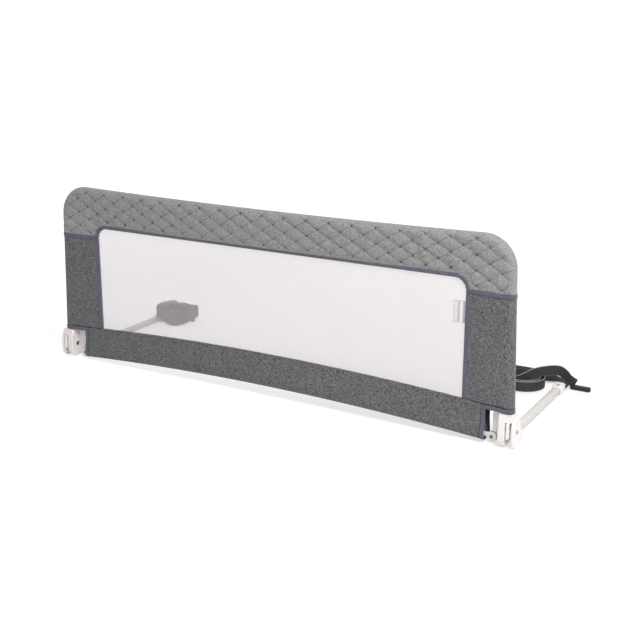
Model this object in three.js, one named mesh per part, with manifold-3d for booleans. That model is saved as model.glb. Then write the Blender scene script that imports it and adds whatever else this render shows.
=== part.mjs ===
// A folding bed guard rail: a fabric covered tube frame with a mesh window, hinged on two flat legs
// that slide under a mattress, with a webbing strap and an anchor bar on the end of each leg.
// Millimetres. +X runs along the rail, +Y points under the bed, +Z is up, and the floor is at Z = 0.
// The origin is on the floor, under the middle of the hinges, the panel and the legs.

import * as THREE from "three";
import { mergeVertices } from "three/addons/utils/BufferGeometryUtils.js";
import Module from "manifold-3d";

const wasm = await Module();
wasm.setup();

// Overall sizes and fits
const overallLength = 1195;
const overallHeight = 435.5;
const legReach = 370;
const clearance = 0.3;
const overrun = 2;

// Frame tubes and their sleeves
const tubeDiameter = 19;
const tubeWall = 1.2;
const tubeSides = 12;
const bendSteps = 6;
const joinerLength = 120;
const tubeEndAbovePivot = 20.5;
const bottomTubeDiameter = 16;

// Fabric cover
const coverRadius = 13.5;
const coverCornerRadius = 69;
const coverTopInset = 18.5;
const coverEdgeInset = 0.35;
const coverThinHalf = 3.5;
const coverBottom = 5;
const topSag = 6;
const bottomBow = 18;
const quiltStepX = 27.65;
const quiltStepZ = 16.4;
const quiltTopInset = 11.2;
const tuftDepth = 1.8;
const puffHeight = 1.1;

// Window, bindings and tag
const windowInset = 121.5;
const windowTopInset = 97;
const windowBottom = 82.5;
const windowCornerRadius = 26;
const bindingWidth = 8;
const bindingProud = 0.7;
const seamInset = 121;
const seamWidth = 9;
const netThickness = 0.8;
const netBar = 2.4;
const netColumns = 14;
const netRows = 7;
const tagWidth = 27;
const tagHeight = 46;
const tagThickness = 0.8;
const tagTopInset = 145;

// Notches in the cover for the hinges
const notchInset = 67.5;
const notchTop = 74;

// Leg side of a hinge
const plateThickness = 7.5;
const plateWidth = 42;
const plateHeight = 67;
const plateBevel = 2;
const headRecessDiameter = 10;
const headRecessDepth = 3.4;
const socketWall = 2.4;
const socketStart = 34;
const socketLength = 20;
const footThickness = 4;
const footLength = 50;
const footCorner = 8;

// Pivot bolt and nut
const boltDiameter = 6;
const boltHeadDiameter = 8.8;
const boltHeadHeight = 2.7;
const boltSlotShare = 1.5;
const nutAcrossFlats = 10;
const nutSides = 6;
const nutRadius = nutAcrossFlats / (2 * Math.cos(Math.PI / nutSides));
const nutThickness = 5;
const boltEndPast = 1.6;

// Rail side of a hinge
const knuckleThickness = 15.5;
const knuckleWidth = 42;
const knuckleBottom = 3;
const knuckleCorner = 18;
const hubDiameter = 21;
const hubLength = 12;
const coverToKnuckle = 1.5;
const gussetReach = 20;
const gussetThickness = 5;
const gussetCorner = 12;
const lugDiameter = 22;
const lugReach = 20;
const lugHeight = 12;
const lugFoot = 5;
const tongueFront = 2.3;
const tongueThickness = 3.7;
const neckHeight = 9.6;
const neckOverlap = 10;
const bottomTubeHeight = 16;

// Release button and its spring
const recessTop = 57.5;
const blockInset = 1;
const buttonWidth = 6.6;
const buttonHeight = 34;
const buttonDepth = 6.5;
const buttonProud = 1;
const buttonCorner = 2.2;
const springDiameter = 4.8;
const springWire = 0.8;
const springCurls = 4;
const springSteps = 7;
const springSides = 4;
const ribHeight = 13;

// Screws
const screwDiameter = 3.6;
const screwHeadDiameter = 7.6;
const screwHeadHeight = 2.4;
const screwSlotWidth = 1.1;
const screwSlotDepth = 1.1;

// Legs
const legWidth = 20;
const legHeight = 14;
const legCorner = 6.4;
const legWall = 1.4;
const capLength = 35;
const capWall = 2.7;
const capEnd = 11;
const capCorner = 9;
const capBevel = 1.6;

// Webbing straps and anchor bars
const webWidth = 25;
const webThickness = 1.5;
const webLift = 0.8;
const webExitHeight = 7;
const webExitRun = 25;
const loopPitch = 9.5;
const loopSteps = 24;
const barLength = 48;
const barWidth = 12;
const barHeight = 10.5;
const barCorner = 5;
const barBevel = 1.6;
const barSlitLength = 16;
const barSlitWidth = 3;

// Right strap: a long loop wound inwards, with its tail lifted over it to the bar.
// Both straps are measured from the middle of the end of their own leg.
const rightLoopX = -129;
const rightLoopY = -9;
const rightLoopRadius = 56;
const rightLoopStraight = 88;
const rightLoopTurns = 2.5;
const rightEntryRadius = 21.4;
const rightTail = [
  [-145, -41.1, 13.4],
  [-110, -40.5, 14],
  [-88, -38.5, 20],
  [-71, -33, 30],
  [-59, -25, 38],
  [-50, -15, 40.3],
  [-39, 0, 40.5],
  [-25, 15, 40],
  [-11, 24.5, 37.5],
  [3, 25.5, 29.5],
  [13, 22.3, 22],
  [21, 21, 17.5],
  [28, 21, 14],
];
const rightBarStart = 16;
const rightBarY = 21;

// Left strap: a heart of two lobes wound inwards, one lobe lying on the leg and one on the bar
const leftHeartX = 38;
const leftHeartY = -2;
const leftHeartDegrees = [60, 28, 15, -19, -61, -103, -134, -172, -208, -232, -245, -270];
const leftHeartRadii = [65, 59, 57, 54, 54, 60, 59, 59, 60, 60, 38, 52];
const leftHeartTurns = 3;
const leftHeartShrinkShare = 0.165;
const leftEntry = [
  [1, 42],
  [3, 54],
  [10, 66],
  [23, 71],
  [40, 67],
  [54, 61],
];
const leftTail = [
  [69, 6, 23.5],
  [63, -12, 19],
  [50, -23.5, 15],
  [34, -24.5, 13.3],
  [22, -16.5, 13.3],
  [17, -3, 13.3],
  [21, 10, 13.3],
  [30, 16.6, 13.3],
  [42, 17, 13.3],
];
const leftBarStart = 38;
const leftBarY = 17;
const legRampStart = 65;
const legRampEnd = 17;
const legRampHeight = 20.1;
const barRampStart = -45;
const barRampEnd = 2;
const barRampHeight = 10.5;
const entryRiseStart = 10;
const entryRiseEnd = 54;

// Places worked out from the sizes above
const halfLength = overallLength / 2;
const coverTopHalf = halfLength - coverTopInset;
const windowHalf = halfLength - windowInset;
const notchHalf = halfLength - notchInset;
const windowTop = overallHeight - windowTopInset;
const seamCentre = overallHeight - seamInset;
const tagBottom = overallHeight - tagTopInset - tagHeight;
const pivotHeight = plateHeight / 2;
const overallDepth = knuckleWidth / 2 + buttonProud + legReach;
const pivotY = knuckleWidth / 2 + buttonProud - overallDepth / 2;
const plateInner = halfLength - plateThickness;
const coverFootHalf = plateInner;
const tubeRadius = tubeDiameter / 2;
const knuckleOuter = plateInner - clearance;
const knucklePlateOuter = knuckleOuter - hubLength;
const knuckleInner = knucklePlateOuter - knuckleThickness;
const knuckleTop = notchTop - coverToKnuckle;
const bottomTubeRadius = bottomTubeDiameter / 2;
const legCentreX = (knuckleInner + knucklePlateOuter) / 2;
const legCentreZ = legHeight / 2 + capWall + clearance;
const lugCentreX = knuckleInner - lugReach;
const tongueBack = tongueFront + tongueThickness;
const gussetFront = tongueBack + clearance;
const gussetBack = gussetFront + gussetThickness;
const lugRadius = lugDiameter / 2;
const bowHalfSpan = notchHalf - bindingWidth;
const cornerStart = coverTopHalf - coverCornerRadius;
const cornerHeight = overallHeight - coverCornerRadius;

// Heights and half widths of the cover's outline
const sideHalf = (z) => {
  const share = THREE.MathUtils.clamp((cornerHeight - z) / (cornerHeight - notchTop), 0, 1);
  return THREE.MathUtils.lerp(coverTopHalf, coverFootHalf, share);
};
const topHeight = (x) => {
  const share = Math.min(Math.abs(x) / cornerStart, 1);
  return overallHeight - topSag * (1 - share * share);
};
const bottomRise = (x) => {
  const share = Math.min(Math.abs(x) / bowHalfSpan, 1);
  return bottomBow * (1 - share * share);
};

const bowSteps = 7;
const bowStations = Array.from(
  { length: 2 * bowSteps + 1 },
  (_, i) => (bowHalfSpan * (i - bowSteps)) / bowSteps,
);

// Solids and booleans
function solid(geometry) {
  const bare = (geometry.index ? geometry.toNonIndexed() : geometry.clone()).clone();
  for (const name of Object.keys(bare.attributes)) {
    if (name !== "position") bare.deleteAttribute(name);
  }
  const merged = mergeVertices(bare, clearance / 300);
  const index = merged.index.array;
  const faces = [];
  for (let i = 0; i < index.length; i += 3) {
    const [a, b, c] = [index[i], index[i + 1], index[i + 2]];
    if (a !== b && b !== c && c !== a) faces.push(a, b, c);
  }
  return new wasm.Manifold(
    new wasm.Mesh({
      numProp: 3,
      vertProperties: new Float32Array(merged.attributes.position.array),
      triVerts: new Uint32Array(faces),
    }),
  );
}

function join(...geometries) {
  return geometries.map((g) => (g.isBufferGeometry ? solid(g) : g)).reduce((a, b) => a.add(b));
}

function cut(body, ...tools) {
  return tools.reduce((a, tool) => a.subtract(tool.isBufferGeometry ? solid(tool) : tool), join(body));
}

function geometryOf(manifold) {
  const mesh = manifold.getMesh();
  const points = new Float32Array(mesh.numVert * 3);
  for (let i = 0; i < mesh.numVert; i += 1) {
    points.set(mesh.vertProperties.subarray(i * mesh.numProp, i * mesh.numProp + 3), i * 3);
  }
  const geometry = new THREE.BufferGeometry();
  geometry.setAttribute("position", new THREE.BufferAttribute(points, 3));
  geometry.setIndex(new THREE.BufferAttribute(new Uint32Array(mesh.triVerts), 1));
  return geometry;
}

// A closed geometry from points and faces, turned so that its faces point out
function closed(points, faces) {
  let volume = 0;
  for (const [a, b, c] of faces) {
    volume += points[a].dot(new THREE.Vector3().crossVectors(points[b], points[c]));
  }
  const index = faces.flatMap(([a, b, c]) => (volume < 0 ? [a, c, b] : [a, b, c]));
  const geometry = new THREE.BufferGeometry().setFromPoints(points);
  geometry.setIndex(index);
  return geometry;
}

// Rings of points joined into one skin, with a flat face at each end
function skin(rings) {
  const sides = rings[0].length;
  const faces = [];
  for (let i = 0; i + 1 < rings.length; i += 1) {
    for (let j = 0; j < sides; j += 1) {
      const a = i * sides + j;
      const b = i * sides + ((j + 1) % sides);
      faces.push([a, b, b + sides], [a, b + sides, a + sides]);
    }
  }
  const last = (rings.length - 1) * sides;
  for (let j = 1; j + 1 < sides; j += 1) {
    faces.push([0, j + 1, j], [last, last + j, last + j + 1]);
  }
  return closed(rings.flat(), faces);
}

// A slab from two grids of points, a front and a back, closed round its border
function slab(columns, rows, point) {
  const points = [];
  for (const side of [-1, 1]) {
    for (let i = 0; i < columns; i += 1) {
      for (let j = 0; j < rows; j += 1) points.push(point(i, j, side));
    }
  }
  const at = (i, j, back) => (back ? columns * rows : 0) + i * rows + j;
  const faces = [];
  const quad = (a, b, c, d) => faces.push([a, b, c], [a, c, d]);
  for (let i = 0; i + 1 < columns; i += 1) {
    for (let j = 0; j + 1 < rows; j += 1) {
      quad(at(i, j, false), at(i + 1, j, false), at(i + 1, j + 1, false), at(i, j + 1, false));
      quad(at(i, j, true), at(i, j + 1, true), at(i + 1, j + 1, true), at(i + 1, j, true));
    }
  }
  const lastRow = rows - 1;
  for (let i = 0; i + 1 < columns; i += 1) {
    quad(at(i, 0, false), at(i, 0, true), at(i + 1, 0, true), at(i + 1, 0, false));
    quad(at(i, lastRow, false), at(i + 1, lastRow, false), at(i + 1, lastRow, true), at(i, lastRow, true));
  }
  const end = columns - 1;
  for (let j = 0; j + 1 < rows; j += 1) {
    const next = j + 1;
    quad(at(0, j, false), at(0, next, false), at(0, next, true), at(0, j, true));
    quad(at(end, j, false), at(end, j, true), at(end, next, true), at(end, next, false));
  }
  return closed(points, faces);
}

// A curve that steps from one chosen point to the next
class Route extends THREE.Curve {
  constructor(points) {
    super();
    this.points = points;
  }

  getPoint(t) {
    const last = this.points.length - 1;
    const at = Math.min(Math.floor(t * last + 1e-6), last - 1);
    return this.points[at].clone().lerp(this.points[at + 1], t * last - at);
  }

  getPointAt(u) {
    return this.getPoint(u);
  }

  getTangentAt(u) {
    const last = this.points.length - 1;
    const at = Math.round(u * last);
    const ahead = this.points[Math.min(at + 1, last)];
    return ahead.clone().sub(this.points[Math.max(at - 1, 0)]).normalize();
  }
}

// A round bar or, with a wall, a tube that follows a list of points
function tube(points, radius, wall = 0, sides = tubeSides) {
  const section = polygon(radius, sides);
  if (wall) section.holes.push(polygon(radius - wall, sides));
  return new THREE.ExtrudeGeometry(section, { steps: points.length - 1, extrudePath: new Route(points) });
}

function polygon(radius, sides) {
  const corners = [];
  for (let i = 0; i < sides; i += 1) {
    const angle = (i + 0.5) * (2 * Math.PI / sides);
    corners.push(new THREE.Vector2(radius * Math.cos(angle), radius * Math.sin(angle)));
  }
  return new THREE.Shape(corners);
}

// A cylinder between two points
const rodSides = 16;
const lugSides = 24;
const headSides = 20;
const screwSides = 10;
function rod(from, to, radius, sides = rodSides) {
  const axis = to.clone().sub(from);
  const geometry = new THREE.CylinderGeometry(radius, radius, axis.length(), sides);
  const turn = new THREE.Quaternion().setFromUnitVectors(v(0, 1, 0), axis.clone().normalize());
  geometry.applyQuaternion(turn);
  const middle = from.clone().lerp(to, 0.5);
  return geometry.translate(middle.x, middle.y, middle.z);
}

function box(low, high) {
  const size = high.clone().sub(low);
  const middle = low.clone().lerp(high, 0.5);
  return new THREE.BoxGeometry(size.x, size.y, size.z).translate(middle.x, middle.y, middle.z);
}

const v = (x, y, z) => new THREE.Vector3(x, y, z);

// A rectangle with round corners, between two corner points
function roundedShape(x0, y0, x1, y1, radius, steps = 4) {
  const r = Math.min(radius, (x1 - x0) / 2, (y1 - y0) / 2);
  const centres = [[x1 - r, y0 + r], [x1 - r, y1 - r], [x0 + r, y1 - r], [x0 + r, y0 + r]];
  const corners = [];
  centres.forEach(([x, y], quarter) => {
    for (let i = 0; i <= steps; i += 1) {
      const angle = (quarter - 1 + i / steps) * (Math.PI / 2);
      const point = new THREE.Vector2(x + r * Math.cos(angle), y + r * Math.sin(angle));
      const apart = (other) => other.distanceTo(point) > clearance / 10;
      if (!corners.length || (apart(corners.at(-1)) && apart(corners[0]))) corners.push(point);
    }
  });
  return new THREE.Shape(corners);
}

// A flat outline given a thickness, with its edges bevelled where a bevel is given
function plate(shape, thickness, bevel = 0) {
  return new THREE.ExtrudeGeometry(shape, {
    depth: thickness - 2 * bevel,
    bevelEnabled: bevel > 0,
    bevelThickness: bevel,
    bevelSize: bevel,
    bevelOffset: -bevel,
    bevelSegments: 1,
  }).translate(0, 0, bevel);
}

// Outlines drawn in the Y-Z, X-Z and X-Y planes, with the side that each grows from
const alongX = (geometry, x) => geometry.rotateX(Math.PI / 2).rotateZ(Math.PI / 2).translate(x, 0, 0);
const alongY = (geometry, yBack) => geometry.rotateX(Math.PI / 2).translate(0, yBack, 0);
const alongZ = (geometry, z) => geometry.translate(0, 0, z);

// Round corner points between two straight runs in the X-Z plane
function cornerPoints(centreX, centreZ, radius, from, to) {
  const points = [];
  for (let i = 0; i <= bendSteps; i += 1) {
    const angle = THREE.MathUtils.lerp(from, to, i / bendSteps);
    points.push(v(centreX + radius * Math.cos(angle), 0, centreZ + radius * Math.sin(angle)));
  }
  return points;
}

// The centre line of one half of the bent frame, from the middle of the top down into the knuckle
const topStationShares = [0, 0.25, 0.5, 0.75];
function framePath(start, endZ) {
  const top = topStationShares.map((share) => {
    const x = THREE.MathUtils.lerp(start, cornerStart, share);
    return v(x, 0, topHeight(x) - coverRadius);
  });
  const bend = cornerPoints(cornerStart, cornerHeight, coverCornerRadius - coverRadius, Math.PI / 2, 0);
  const footX = coverFootHalf - coverRadius;
  return [...top, ...bend, v(footX, 0, notchTop), v(footX, 0, endZ)];
}

// The centre line of the bottom tube between two places along the rail
function bottomPath(from, to) {
  const between = bowStations.filter((x) => x > from + overrun && x < to - overrun);
  return [from, ...between, to].map((x) => v(x, 0, bottomTubeHeight + bottomRise(x)));
}

const uprightEnd = pivotHeight + tubeEndAbovePivot;
const bottomTubeEnd = notchHalf - bindingWidth - clearance;
const channelRadius = tubeRadius + clearance;
const bottomChannelRadius = bottomTubeRadius + clearance;

// Screws: a domed head with a slot, on a plain shank
function screwGeometry(shank) {
  const headRadius = screwHeadDiameter / 2;
  const profile = [
    new THREE.Vector2(0, -shank),
    new THREE.Vector2(screwDiameter / 2, -shank),
    new THREE.Vector2(screwDiameter / 2, 0),
    new THREE.Vector2(headRadius, 0),
    new THREE.Vector2(headRadius, screwHeadHeight / 2),
    new THREE.Vector2(headRadius / 2, screwHeadHeight),
    new THREE.Vector2(0, screwHeadHeight),
  ];
  const slot = new THREE.BoxGeometry(headRadius, 2 * screwSlotDepth, screwSlotWidth);
  slot.translate(0, screwHeadHeight, 0);
  return geometryOf(cut(new THREE.LatheGeometry(profile, screwSides), slot));
}

// A screw's shank hole and the seat that its head drops into
function screwHole(seat, outward, shank) {
  const start = seat.clone().addScaledVector(outward, overrun);
  const end = seat.clone().addScaledVector(outward, -shank - clearance);
  return rod(start, end, screwDiameter / 2 + clearance, screwSides);
}

const materials = {
  plastic: { color: 0xf2eeee, roughness: 0.42, metalness: 0 },
  tube: { color: 0xe9e6e6, roughness: 0.35, metalness: 0.2 },
  steel: { color: 0xb9bcc0, roughness: 0.32, metalness: 0.9 },
  quilt: { color: 0x93949a, roughness: 0.9, metalness: 0 },
  fabric: { color: 0x65666b, roughness: 0.92, metalness: 0 },
  binding: { color: 0x5f5d6d, roughness: 0.85, metalness: 0 },
  net: { color: 0xece6e8, roughness: 0.8, metalness: 0 },
  tag: { color: 0xf4f4f2, roughness: 0.5, metalness: 0 },
  webbing: { color: 0x3c3d40, roughness: 0.85, metalness: 0 },
  anchor: { color: 0x151516, roughness: 0.45, metalness: 0 },
};

const rail = new THREE.Group();
rail.position.set(0, pivotY, 0);

function add(parent, name, geometry, finish) {
  const body = geometry.isBufferGeometry ? geometry : geometryOf(geometry);
  const mesh = new THREE.Mesh(body, new THREE.MeshStandardMaterial(materials[finish]));
  mesh.name = name;
  parent.add(mesh);
  return mesh;
}

// One group for each end: the left one is the right one mirrored
const ends = ["left", "right"].map((side) => {
  const group = new THREE.Group();
  group.scale.x = side === "left" ? -1 : 1;
  rail.add(group);
  return { side, group };
});

// Bent top tubes, bottom tubes and the sleeves that join their halves inside
const lugScrewSeat = v(lugCentreX, tongueFront, lugHeight);
const lugScrewShank = gussetBack - tongueFront - overrun / 2;
const uprightScrewZ = (uprightEnd + knuckleTop) / 2 + socketWall;
const uprightScrewX = sideHalf(uprightScrewZ) - coverRadius;
const blockHalf = knuckleWidth / 2 - blockInset;
const uprightScrewSeat = v(uprightScrewX, blockHalf, uprightScrewZ);
const uprightScrewShank = blockHalf;
const forward = v(0, -1, 0);
const backward = v(0, 1, 0);
const upward = v(0, 0, 1);

for (const { side, group } of ends) {
  const bent = cut(
    tube(framePath(clearance / 2, uprightEnd), tubeRadius, tubeWall),
    screwHole(uprightScrewSeat, backward, uprightScrewShank),
  );
  add(group, `frame_tube_${side}`, bent, "tube");
  const neck = box(
    v(bottomTubeEnd - neckOverlap, tongueFront, bottomTubeHeight - neckHeight / 2),
    v(lugCentreX, tongueBack, bottomTubeHeight + neckHeight / 2),
  );
  const tongue = rod(
    v(lugCentreX, tongueFront, lugHeight),
    v(lugCentreX, tongueBack, lugHeight),
    lugRadius,
    lugSides,
  );
  const straight = cut(
    join(tube(bottomPath(clearance / 2, bottomTubeEnd), bottomTubeRadius, tubeWall), neck, tongue),
    screwHole(lugScrewSeat, forward, lugScrewShank),
  );
  add(group, `bottom_tube_${side}`, straight, "tube");
}
const joinerRadius = tubeRadius - tubeWall - clearance;
const bottomJoinerRadius = bottomTubeRadius - tubeWall - clearance;
const joinerStationShares = [-1, -0.5, 0, 0.5, 1];
const joinerHalf = joinerLength / 2;
const joinerXs = joinerStationShares.map((share) => share * joinerHalf);
const topJoinerPath = joinerXs.map((x) => v(x, 0, topHeight(x) - coverRadius));
add(rail, "top_joiner", tube(topJoinerPath, joinerRadius), "steel");
add(rail, "bottom_joiner", tube(bottomPath(-joinerHalf, joinerHalf), bottomJoinerRadius), "steel");

// Knuckles: the white casings that clamp the tubes and turn on the pivot bolts
const buttonTop = recessTop - clearance;
const buttonBottom = buttonTop - buttonHeight;
const buttonFront = -knuckleWidth / 2 - buttonProud;
const buttonBack = buttonFront + buttonDepth;
const nutInnerX = knuckleInner + boltEndPast;
const springX = knucklePlateOuter + hubLength / 2;
const buttonInner = springX - buttonWidth / 2;
const buttonOuter = springX + buttonWidth / 2;
const springZ = buttonTop - ribHeight / 2;
const springLength = -buttonBack - overrun;
const springBack = buttonBack + springLength;

function knuckle() {
  const half = knuckleWidth / 2;
  const outline = roundedShape(-half, knuckleBottom, half, knuckleTop, knuckleCorner);
  const plateBody = alongX(plate(outline, knuckleThickness, plateBevel), knuckleInner);
  const hub = rod(
    v(knuckleInner + plateBevel, 0, pivotHeight),
    v(knuckleOuter, 0, pivotHeight),
    hubDiameter / 2,
  );
  const block = box(
    v(knuckleInner + plateBevel, -blockHalf, recessTop),
    v(knuckleOuter, blockHalf, knuckleTop),
  );
  const rib = box(
    v(knuckleInner + plateBevel, springBack + clearance, buttonTop - ribHeight),
    v(knuckleOuter, coverRadius, recessTop + overrun),
  );
  const gusset = alongY(
    plate(
      roundedShape(
        knuckleInner - gussetReach,
        lugHeight,
        knuckleInner + knuckleThickness / 2,
        knuckleTop,
        gussetCorner,
      ),
      gussetThickness,
    ),
    gussetBack,
  );
  const lug = rod(
    v(lugCentreX, gussetFront, lugHeight),
    v(lugCentreX, gussetBack, lugHeight),
    lugRadius,
    lugSides,
  );
  const web = box(
    v(lugCentreX, gussetFront, lugFoot),
    v(knuckleInner + knuckleThickness / 2, gussetBack, lugHeight + lugRadius),
  );
  const body = join(plateBody, hub, block, rib, gusset, lug, web);
  const pivotHole = rod(
    v(lugCentreX, 0, pivotHeight),
    v(halfLength, 0, pivotHeight),
    boltDiameter / 2 + clearance,
  );
  const uprightBore = tube(framePath(0, uprightEnd - clearance), channelRadius);
  const nutSpace = rod(
    v(knuckleInner - overrun, 0, pivotHeight),
    v(nutInnerX + nutThickness + clearance, 0, pivotHeight),
    nutRadius + clearance,
  );
  return cut(
    body,
    pivotHole,
    uprightBore,
    nutSpace,
    screwHole(lugScrewSeat, forward, lugScrewShank),
    screwHole(uprightScrewSeat, backward, uprightScrewShank),
  );
}

// Release buttons, each pushed back out by a small coil spring against the knuckle's rib
function releaseButton() {
  const shape = roundedShape(buttonInner, buttonBottom, buttonOuter, buttonTop, buttonCorner);
  return alongY(plate(shape, buttonDepth, buttonCorner / 3), buttonBack);
}

function spring() {
  const rings = [];
  const steps = springCurls * springSteps;
  const radius = (springDiameter - springWire) / 2;
  const run = springLength - 2 * clearance - springWire;
  for (let i = 0; i <= steps; i += 1) {
    const angle = (i / springSteps) * 2 * Math.PI;
    const y = buttonBack + clearance + springWire / 2 + run * (i / steps);
    const ring = [];
    for (let j = 0; j < springSides; j += 1) {
      const around = (j / springSides) * 2 * Math.PI;
      const out = radius + (springWire / 2) * Math.cos(around);
      const along = (springWire / 2) * Math.sin(around);
      ring.push(v(springX + out * Math.cos(angle), y + along, springZ + out * Math.sin(angle)));
    }
    rings.push(ring);
  }
  return skin(rings);
}

// Hinge bases: an outer plate that carries the bolt, and a socket for the leg
function hingeBase() {
  const half = plateWidth / 2;
  const outline = roundedShape(-half, 0, half, plateHeight, half);
  const outer = alongX(plate(outline, plateThickness, plateBevel), plateInner);
  const socketTop = legCentreZ + legHeight / 2 + socketWall;
  const socketInner = legCentreX - legWidth / 2 - socketWall;
  const socketEnd = socketStart + socketLength;
  const foot = alongX(
    plate(roundedShape(0, 0, footLength, socketTop, footCorner), footThickness),
    plateInner,
  );
  const socket = alongY(
    plate(roundedShape(socketInner, 0, plateInner + overrun, socketTop, plateBevel), socketLength),
    socketEnd,
  );
  const bore = alongY(
    plate(
      roundedShape(
        legCentreX - legWidth / 2 - clearance,
        legCentreZ - legHeight / 2 - clearance,
        legCentreX + legWidth / 2 + clearance,
        legCentreZ + legHeight / 2 + clearance,
        legCorner,
      ),
      socketLength,
    ),
    socketEnd + socketWall,
  );
  const boltHole = rod(
    v(plateInner - overrun, 0, pivotHeight),
    v(halfLength, 0, pivotHeight),
    boltDiameter / 2 + clearance,
  );
  const headRecess = rod(
    v(halfLength - headRecessDepth, 0, pivotHeight),
    v(halfLength + overrun, 0, pivotHeight),
    headRecessDiameter / 2,
  );
  const legScrewHole = screwHole(legScrewSeat, upward, legScrewShank);
  return cut(join(outer, foot, socket), bore, boltHole, headRecess, legScrewHole);
}

function pivotBolt() {
  const headSeat = halfLength - headRecessDepth + clearance;
  const headRadius = boltHeadDiameter / 2;
  const head = new THREE.CylinderGeometry(headRadius, headRadius, boltHeadHeight, headSides)
    .rotateZ(Math.PI / 2)
    .translate(headSeat + boltHeadHeight / 2, 0, pivotHeight);
  const shank = rod(
    v(nutInnerX - boltEndPast, 0, pivotHeight),
    v(headSeat + boltHeadHeight / 2, 0, pivotHeight),
    boltDiameter / 2,
  );
  const slots = [0, Math.PI / 2].map((turn) =>
    new THREE.BoxGeometry(2 * screwSlotDepth, headRadius, boltSlotShare * screwSlotWidth)
      .rotateX(turn)
      .translate(headSeat + boltHeadHeight, 0, pivotHeight),
  );
  return cut(join(head, shank), ...slots);
}

function pivotNut() {
  const nutOuterX = nutInnerX + nutThickness;
  const body = rod(v(nutInnerX, 0, pivotHeight), v(nutOuterX, 0, pivotHeight), nutRadius, nutSides);
  const thread = rod(
    v(nutInnerX - overrun, 0, pivotHeight),
    v(nutOuterX + overrun, 0, pivotHeight),
    boltDiameter / 2 + clearance,
  );
  return cut(body, thread);
}

// Legs: flat oval tubes with a moulded cap on the end
const legScrewSeat = v(legCentreX, socketStart + socketLength / 2, legCentreZ + legHeight / 2 + socketWall);
const legScrewShank = legHeight / 2 + socketWall;
const capTop = legCentreZ + legHeight / 2 + capWall;
const capScrewShare = 1.9;
const capScrewSeat = v(legCentreX, legReach - capEnd * capScrewShare, capTop - screwHeadHeight);
const capScrewShank = legHeight / 2 + capWall;
const legStart = socketStart + socketWall + clearance;
const legEnd = legReach - capEnd - clearance;

function legSection(grow) {
  return roundedShape(
    legCentreX - legWidth / 2 - grow,
    legCentreZ - legHeight / 2 - grow,
    legCentreX + legWidth / 2 + grow,
    legCentreZ + legHeight / 2 + grow,
    legCorner + grow,
  );
}

function legTube() {
  const outer = alongY(plate(legSection(0), legEnd - legStart), legEnd);
  const inner = alongY(plate(legSection(-legWall), legEnd - legStart + 2 * overrun), legEnd + overrun);
  return cut(
    outer,
    inner,
    screwHole(legScrewSeat, upward, legScrewShank),
    screwHole(capScrewSeat, upward, capScrewShank),
  );
}

function legCap() {
  const half = legWidth / 2 + capWall;
  const capStart = legReach - capLength;
  const shape = roundedShape(legCentreX - half, capStart, legCentreX + half, legReach, capCorner);
  const body = alongZ(plate(shape, capTop, capBevel), 0);
  const squareEnd = box(
    v(legCentreX - half + capBevel, legReach - capLength, capBevel),
    v(legCentreX + half - capBevel, legReach - capLength / 2, capTop - capBevel),
  );
  const bore = alongY(plate(legSection(clearance), capLength), legReach - capEnd);
  const headSeat = rod(
    capScrewSeat,
    capScrewSeat.clone().addScaledVector(upward, screwHeadHeight + overrun),
    screwHeadDiameter / 2 + clearance,
  );
  return cut(join(body, squareEnd), bore, headSeat, screwHole(capScrewSeat, upward, capScrewShank));
}

for (const { side, group } of ends) {
  add(group, `knuckle_${side}`, knuckle(), "plastic");
  add(group, `release_button_${side}`, releaseButton(), "plastic");
  add(group, `button_spring_${side}`, spring(), "steel");
  add(group, `hinge_base_${side}`, hingeBase(), "plastic");
  add(group, `pivot_bolt_${side}`, pivotBolt(), "steel");
  add(group, `pivot_nut_${side}`, pivotNut(), "steel");
  add(group, `leg_tube_${side}`, legTube(), "tube");
  add(group, `leg_cap_${side}`, legCap(), "plastic");

  const seats = {
    lug_screw: [lugScrewSeat, lugScrewShank, [Math.PI / 2, 0, Math.PI]],
    upright_screw: [uprightScrewSeat, uprightScrewShank, [Math.PI / 2, 0, 0]],
    leg_screw: [legScrewSeat, legScrewShank, [Math.PI / 2, 0, 0]],
    cap_screw: [capScrewSeat, capScrewShank, [Math.PI / 2, 0, 0]],
  };
  const outward = { lug_screw: forward, upright_screw: backward, leg_screw: upward, cap_screw: upward };
  for (const [name, [seat, shank]] of Object.entries(seats)) {
    const screw = screwGeometry(shank);
    screw.applyQuaternion(new THREE.Quaternion().setFromUnitVectors(v(0, 1, 0), outward[name]));
    const at = seat.clone().addScaledVector(outward[name], clearance);
    add(group, `${name}_${side}`, screw.translate(at.x, at.y, at.z), "steel");
  }
}

// Half the cover's thickness, by the distance in from its outer edge
const coverBand = coverTopHalf - windowHalf;
function halfThickness(inward) {
  if (inward < coverRadius) {
    const left = coverRadius - Math.max(inward, coverEdgeInset);
    return Math.sqrt(coverRadius * coverRadius - left * left);
  }
  const share = Math.min((inward - coverRadius) / (coverBand - coverRadius), 1);
  return THREE.MathUtils.lerp(coverRadius, coverThinHalf, share);
}

// The bottom sleeve is loose: it swells round the tube and thins away from it
const sleeveBelow = bottomTubeHeight - coverBottom;
const sleeveAbove = windowBottom - bottomTubeHeight;
const sleeveBelowShares = [0, 0.4, 1];
const sleeveAboveShares = [0.25, 0.55];
function sleeveHalf(height) {
  const from = height - bottomTubeHeight;
  const reach = from < 0 ? sleeveBelow : sleeveAbove;
  const share = Math.min(Math.abs(from) / reach, 1);
  const swell = (1 + Math.cos(Math.PI * share)) / 2;
  return THREE.MathUtils.lerp(coverThinHalf, coverRadius - clearance, swell);
}

// The channel that the bent frame leaves in the cover
const frameChannel = ends.map(({ side }) => {
  const sign = side === "left" ? -1 : 1;
  const points = framePath(-overrun, bottomTubeHeight).map((p) => v(sign * p.x, p.y, p.z));
  return tube(points, channelRadius);
});
const bottomChannel = tube(bottomPath(-halfLength, halfLength), bottomChannelRadius);

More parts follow.
